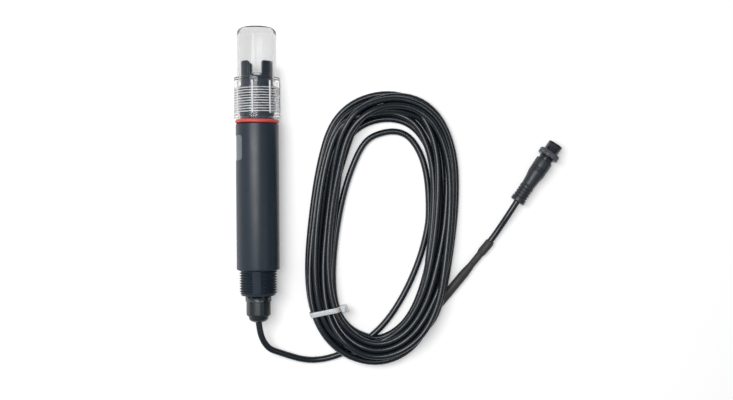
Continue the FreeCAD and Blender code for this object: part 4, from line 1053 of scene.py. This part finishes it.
class SENSOR_OT_cable(bpy.types.Operator):
    """Lay the cable as one smooth curve from the gland through the coil and the sleeve to the plug"""

    bl_idname = "sensor.cable"
    bl_label = "Cable"

    def execute(self, context):
        look = context.scene.cable_look
        gland_exit = (0.0, SHOULDER_Y + NUT_END, AXIS_HEIGHT)
        points = np.concatenate([
            [gland_exit],
            LEAD_POINTS,
            coil_path(look.turns, look.stations),
            [sleeve_axis(share) for share in (0.03, 0.5, 0.97)],
            TAIL_POINTS,
            [PLUG_REAR],
        ])
        curve = bpy.data.curves.new("cable", "CURVE")
        curve.dimensions = "3D"
        curve.bevel_depth = look.diameter / 2
        curve.bevel_resolution = 5
        curve.resolution_u = 3
        curve.use_fill_caps = True
        spline = curve.splines.new("NURBS")
        spline.points.add(len(points) - 1)
        spline.points.foreach_set("co", np.column_stack([points * MM, np.ones(len(points))]).ravel())
        spline.order_u = 3
        spline.use_endpoint_u = True
        piece = add_object("cable", curve)
        dress(piece, "sensor", "cable_jacket", jacket("cable_jacket"))
        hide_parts("cable_lead", "cable_coil", "cable_tail")
        return {"FINISHED"}


STRAP_WIDTH = 3.6
STRAP_THICKNESS = 0.9
STRAP_GAP = 0.08
# How far the tie runs askew across the coil, as a slope and a shift in millimetres
STRAP_SLANT = 0.11
STRAP_SHIFT = -1.0
HEAD_SIZE = np.array([5.0, 5.3, 5.2])
STUB_SIZE = np.array([1.1, 3.0, 2.6])


def block_grid(size, edge=7.0, count=32):
    """A block with round edges: the surface where the three coordinates, each as a share of its half size
    and raised to the power of edge, add up to one."""
    up = np.linspace(-pi / 2, pi / 2, count)[:, None]
    round_ = even_angles(2 * count)[None, :]

    def bent(value):
        return np.sign(value) * np.abs(value) ** (2 / edge)

    grid = [bent(np.cos(up)) * bent(np.cos(round_)), bent(np.cos(up)) * bent(np.sin(round_))]
    grid.append(bent(np.sin(up)) * np.ones_like(round_))
    return np.stack(grid, axis=-1) * size / 2


def strap_grid(passes):
    """The strap round the passes: their outline is, in each direction, the outermost pass's centre plus its
    radius, and the strap's section is a flat bar with round corners."""
    angles = even_angles(180)
    normal = np.stack([np.cos(angles), np.sin(angles)], axis=-1)
    centre = passes[(passes @ normal.T).argmax(axis=0)]
    half = STRAP_THICKNESS / 2
    middle = CABLE_RADIUS + STRAP_GAP + half
    wide = STRAP_WIDTH / 2
    corners = [(-half, -wide, 0.3), (half, -wide, 0.3), (half, wide, 0.3), (-half, wide, 0.3)]
    bar = rounded_profile(corners, closed=True, steps=3)
    across = centre[None] + (middle + bar[:, None, :1]) * normal[None]
    along = np.repeat(bar[:, 1:2], len(angles), axis=1)
    return np.concatenate([across, along[..., None]], axis=-1)


class SENSOR_OT_tie(bpy.types.Operator):
    """Build the cable tie: a strap drawn round the coil, its ratchet head and its cut end"""

    bl_idname = "sensor.tie"
    bl_label = "Cable tie"

    def execute(self, context):
        look = context.scene.cable_look
        centre, out, section, _ = settled_coil(look.turns, look.stations)
        before = int(TIE_SHARE * look.stations)
        share = TIE_SHARE * look.stations - before
        lines = (section.swapaxes(0, 1), centre, out)
        passes, spot, aside = ((1 - share) * line[before] + share * line[before + 1] for line in lines)
        aside /= np.linalg.norm(aside)

        def place(points):
            along = points[..., 2:] + STRAP_SLANT * points[..., :1] + STRAP_SHIFT
            flat = spot + points[..., :1] * aside + along * np.array([aside[1], -aside[0]])
            return np.concatenate([flat, points[..., 1:2]], axis=-1) * MM

        inner = passes[:, 0].min() - CABLE_RADIUS - STRAP_THICKNESS
        top = passes[passes[:, 0] < passes[:, 0].min() + CABLE_RADIUS, 1].max()
        head = block_grid(HEAD_SIZE) + [inner - HEAD_SIZE[0] / 2 + 0.3, 0, 0]
        stub = block_grid(STUB_SIZE) + [inner - HEAD_SIZE[0] / 2, 0, HEAD_SIZE[2] / 2 + 0.6]
        points, faces = [], []
        blocks = [(block[..., [0, 2, 1]] + [0, top, 0], False) for block in (head, stub)]
        for grid, wrapped in [(strap_grid(passes), True), *blocks]:
            rows, columns = grid.shape[:2]
            flat = place(grid).reshape(-1, 3)
            quads = outward(flat, grid_faces(rows, columns, wrapped, True))
            faces.append(quads + sum(len(p) for p in points))
            points.append(flat)
        piece = new_piece("tie_look", np.concatenate(points), np.concatenate(faces).tolist(), 50)
        dress(piece, "sensor", "white_nylon", nylon())
        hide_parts("cable_tie")
        return {"FINISHED"}


NECK_RADIUS = 2.45
NECK_MIDDLE = 90.0
BULB_RADIUS = 3.15


def sleeve_shape(radius, height, angles):
    """Flatten and wrinkle the shrunk sleeve a little with sines of the angle, more where it necks in."""
    neck = np.exp(-(((height - NECK_MIDDLE) / 9) ** 2))
    wrinkle = 0.07 * np.sin(3 * angles + height / 9) + 0.05 * neck * np.sin(9 * angles + height / 4)
    return np.maximum(radius * (1 + 0.02 * np.cos(2 * angles)) + wrinkle - 0.07, 2.3), height


class SENSOR_OT_sleeve(bpy.types.Operator):
    """Build the shrink sleeve over the cable"""

    bl_idname = "sensor.sleeve"
    bl_label = "Shrink sleeve"

    def execute(self, context):
        corners = [
            (2.35, 0.0),
            (SLEEVE_RADIUS, 0.0, 0.3),
            (SLEEVE_RADIUS, 78.0, 8.0),
            (NECK_RADIUS, 86.0, 5.0),
            (NECK_RADIUS + 0.05, 95.5, 2.0),
            (BULB_RADIUS, 98.0, 1.5),
            (BULB_RADIUS, 106.5, 1.0),
            (2.5, SLEEVE_LENGTH - 0.1, 0.5),
            (2.35, SLEEVE_LENGTH),
        ]
        profile = refine(rounded_profile(corners, closed=True, steps=6), 0.5, SLEEVE_LENGTH - 0.5, 1.5)
        on_sleeve = laid_along((*SLEEVE_START, SLEEVE_RADIUS), SLEEVE_HEADING)
        piece = turned("sleeve_look", profile, on_sleeve, even_angles(48), sleeve_shape)
        matt = moulded("shrink_sleeve", (0.035, 0.035, 0.037), 0.5, 0.62, grain=900, depth=0.00006)
        dress(piece, "sensor", "shrink_black", matt)
        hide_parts("shrink_sleeve")
        return {"FINISHED"}


# Plug

BOOT_LENGTH = 34.9
FLANGE_LENGTH = 3.4
RELIEF_PITCH = 2.25
GRIP_RADIUS = 6.1
KNURL_ROOT = 7.45


def boot_profile():
    """A rear flange, four rounded rings, a waist and a grip with three grooves."""
    corners = [(0, 0), (5.25, 0, 0.5), (5.25, FLANGE_LENGTH, 0.4)]
    for i in range(4):
        start = FLANGE_LENGTH + RELIEF_PITCH * i
        corners += [(4.45, start, 0.2), (4.45, start + 0.6, 0.2)]
        corners += [(5.0, start + 0.75, 0.5), (5.0, start + RELIEF_PITCH - 0.1, 0.5)]
    corners += [(4.7, 14.0, 3.0), (5.2, 19.6, 8.0), (GRIP_RADIUS, 24.4, 1.0)]
    for i in range(3):
        start = 25.0 + 1.4 * i
        corners += [(GRIP_RADIUS, start, 0.25), (GRIP_RADIUS - 0.4, start + 0.15, 0.1)]
        corners += [(GRIP_RADIUS - 0.4, start + 0.45, 0.1), (GRIP_RADIUS, start + 0.6, 0.25)]
    corners += [(GRIP_RADIUS, BOOT_LENGTH, 0.6), (0, BOOT_LENGTH)]
    return rounded_profile(corners, steps=5)


def plug_reach(mesh):
    """How far each face's middle is from the plug's axis, in millimetres."""
    apart = face_centres(mesh) - PLUG_REAR
    ahead = np.array([cos(PLUG_HEADING), sin(PLUG_HEADING), 0.0])
    return np.linalg.norm(apart - np.outer(apart @ ahead, ahead), axis=1)


class SENSOR_OT_plug(bpy.types.Operator):
    """Finish the plug and its coupling ring"""

    bl_idname = "sensor.plug"
    bl_label = "Plug"

    def execute(self, context):
        boot = moulded("boot_plastic", looks().plug_colour, 0.34, 0.44, grain=1500, depth=0.00003)
        black = moulded("plug_coat", (0.018, 0.023, 0.03), 0.2, 0.3)
        gold = metal("gold_contact", (0.9, 0.66, 0.3), 0.15, 0.3)
        # Painted highlight: the knurl's crests get a paler coat than the ring, standing for the bright lines
        # of light along them
        painted_crest_highlight = moulded("knurl_crest", (0.075, 0.085, 0.1), 0.25, 0.35)
        piece = turned("boot_look", boot_profile(), laid_along(PLUG_REAR, PLUG_HEADING), closed=False)
        dress(piece, "sensor", "boot_black", boot)
        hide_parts("connector_boot")
        dress(smooth_copy("shell_look", "plug_shell"), "sensor", "black_metal", black)
        dress(smooth_copy("pins_look", "contact_pins"), "sensor", "gold_contact", gold)
        ring = dress(smooth_copy("coupling_look", "coupling_ring"), "ring", "black_metal", black, painted_crest_highlight)
        # The knurl's crests, which carry the painted highlight
        crest = plug_reach(ring.data) > KNURL_ROOT
        ring.data.polygons.foreach_set("material_index", crest.astype(int))
        paint(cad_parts["pin_insert"], boot)
        return {"FINISHED"}


# Stage

TABLE_REACH = 3.0
LAMP_AIM = (0.07, -0.02, 0.0)
FILM_WIDTH = 36.0


@finish
def white_floor(tree):
    """White table that keeps its shadows and is a little brighter to the camera, gloss and glass."""
    tree.set(Roughness=0.9, Specular_IOR_Level=0.0, Base_Color=(0.96, 0.96, 0.965, 1))
    glow = tree.nodes.new("ShaderNodeEmission")
    rays = tree.nodes.new("ShaderNodeLightPath").outputs
    seen = tree.combine("MAXIMUM", rays["Is Camera Ray"], rays["Is Glossy Ray"])
    seen = tree.combine("MAXIMUM", seen, rays["Is Transmission Ray"])
    tree.links.new(tree.combine("MULTIPLY", seen, 0.26), glow.inputs["Strength"])
    add = tree.nodes.new("ShaderNodeAddShader")
    tree.links.new(tree.shader.outputs["BSDF"], add.inputs[0])
    tree.links.new(glow.outputs["Emission"], add.inputs[1])
    tree.surface(add.outputs["Shader"])


def soft_lamp(name, place, width, height, power):
    """A rectangular lamp, placed and sized in metres, that shines on what lies on the table."""
    light = bpy.data.lights.new(name, "AREA")
    light.shape = "RECTANGLE"
    light.size = width
    light.size_y = height
    light.energy = power
    lamp = add_object(name, light)
    lamp.location = place
    lamp.rotation_euler = (Vector(LAMP_AIM) - Vector(place)).to_track_quat("-Z", "Y").to_euler()


def studio(sky, wall):
    """A dim room, brightest straight above, with a pale wall on the left.

    Clear pieces show one more beyond the cap, and the camera sees the room white.
    """
    world = bpy.data.worlds.new("studio")
    world.use_nodes = True
    tree = Shading(world.node_tree)
    toward = tree.coordinates("Generated")
    above = tree.spread(toward["Z"], 0.2 * sky, sky, 0.0, 1.0)
    left = tree.spread(toward["X"], 0.0, wall, -0.3, -1.0)
    beyond = tree.spread(toward["Y"], 0.12, 0.8, 0.1, 0.8)
    rays = tree.nodes.new("ShaderNodeLightPath").outputs
    through = tree.combine("MULTIPLY", beyond, rays["Is Transmission Ray"])
    strength = tree.combine("MAXIMUM", tree.combine("ADD", above, left), through)
    strength = tree.combine("MAXIMUM", strength, rays["Is Camera Ray"])
    background = tree.nodes["Background"]
    tree.links.new(strength, background.inputs["Strength"])
    background.inputs["Color"].default_value = (1, 1, 1, 1)
    return world


class SENSOR_OT_stage(bpy.types.Operator):
    """Lay the table, hang the lamps and place the camera"""

    bl_idname = "sensor.stage"
    bl_label = "Stage"

    def execute(self, context):
        light = context.scene.light_look
        corners = [(x * TABLE_REACH, y * TABLE_REACH, 0) for x, y in [(-1, -1), (1, -1), (1, 1), (-1, 1)]]
        table = new_piece("table", corners, [[0, 1, 2, 3]])
        paint(table, white_floor("pale_table"))
        soft_lamp("key_lamp", (-0.16, 0.12, 0.88), 0.42, 0.6, light.key_power)
        soft_lamp("fill_lamp", (0.75, -0.2, 0.8), 0.5, 0.5, light.fill_power)
        context.scene.world = studio(light.sky, light.wall)
        context.scene.view_settings.view_transform = "Standard"
        camera = bpy.data.cameras.new("camera")
        camera.sensor_width = FILM_WIDTH
        camera.lens = FILM_WIDTH / FIELD_WIDTH * FIELD_DISTANCE
        viewer = add_object("camera", camera)
        viewer.location = [c * MM for c in CAMERA_PLACE]
        viewer.rotation_euler = Euler((0, 0, -CAMERA_ROLL))
        context.scene.camera = viewer
        return {"FINISHED"}


# Panel and registration

BUILD_ORDER = [
    SENSOR_OT_housing,
    SENSOR_OT_guard,
    SENSOR_OT_ring,
    SENSOR_OT_cap,
    SENSOR_OT_gland,
    SENSOR_OT_tie,
    SENSOR_OT_sleeve,
    SENSOR_OT_plug,
    SENSOR_OT_cable,
    SENSOR_OT_stage,
]


class SENSOR_PT_build(bpy.types.Panel):
    """Buttons that build the sensor piece by piece"""

    bl_idname = "SENSOR_PT_build"
    bl_label = "Water quality sensor"
    bl_space_type = "VIEW_3D"
    bl_region_type = "UI"
    bl_category = "Sensor"

    def draw(self, context):
        for operator in BUILD_ORDER:
            self.layout.operator(operator.bl_idname)
        for group in (context.scene.sensor_look, context.scene.cable_look, context.scene.light_look):
            for name in group.bl_rna.properties.keys():
                if name not in ("rna_type", "name"):
                    self.layout.prop(group, name)


PROPERTY_GROUPS = {"sensor_look": SensorLook, "cable_look": CableLook, "light_look": LightLook}


def register():
    for name, group in PROPERTY_GROUPS.items():
        bpy.utils.register_class(group)
        setattr(bpy.types.Scene, name, PointerProperty(type=group))
    for operator in BUILD_ORDER:
        bpy.utils.register_class(operator)
    bpy.utils.register_class(SENSOR_PT_build)


def unregister():
    bpy.utils.unregister_class(SENSOR_PT_build)
    for operator in reversed(BUILD_ORDER):
        bpy.utils.unregister_class(operator)
    for name, group in PROPERTY_GROUPS.items():
        delattr(bpy.types.Scene, name)
        bpy.utils.unregister_class(group)


def main():
    register()
    for operator in BUILD_ORDER:
        family, action = operator.bl_idname.split(".")
        getattr(getattr(bpy.ops, family), action)()


if __name__ == "__main__":
    main()
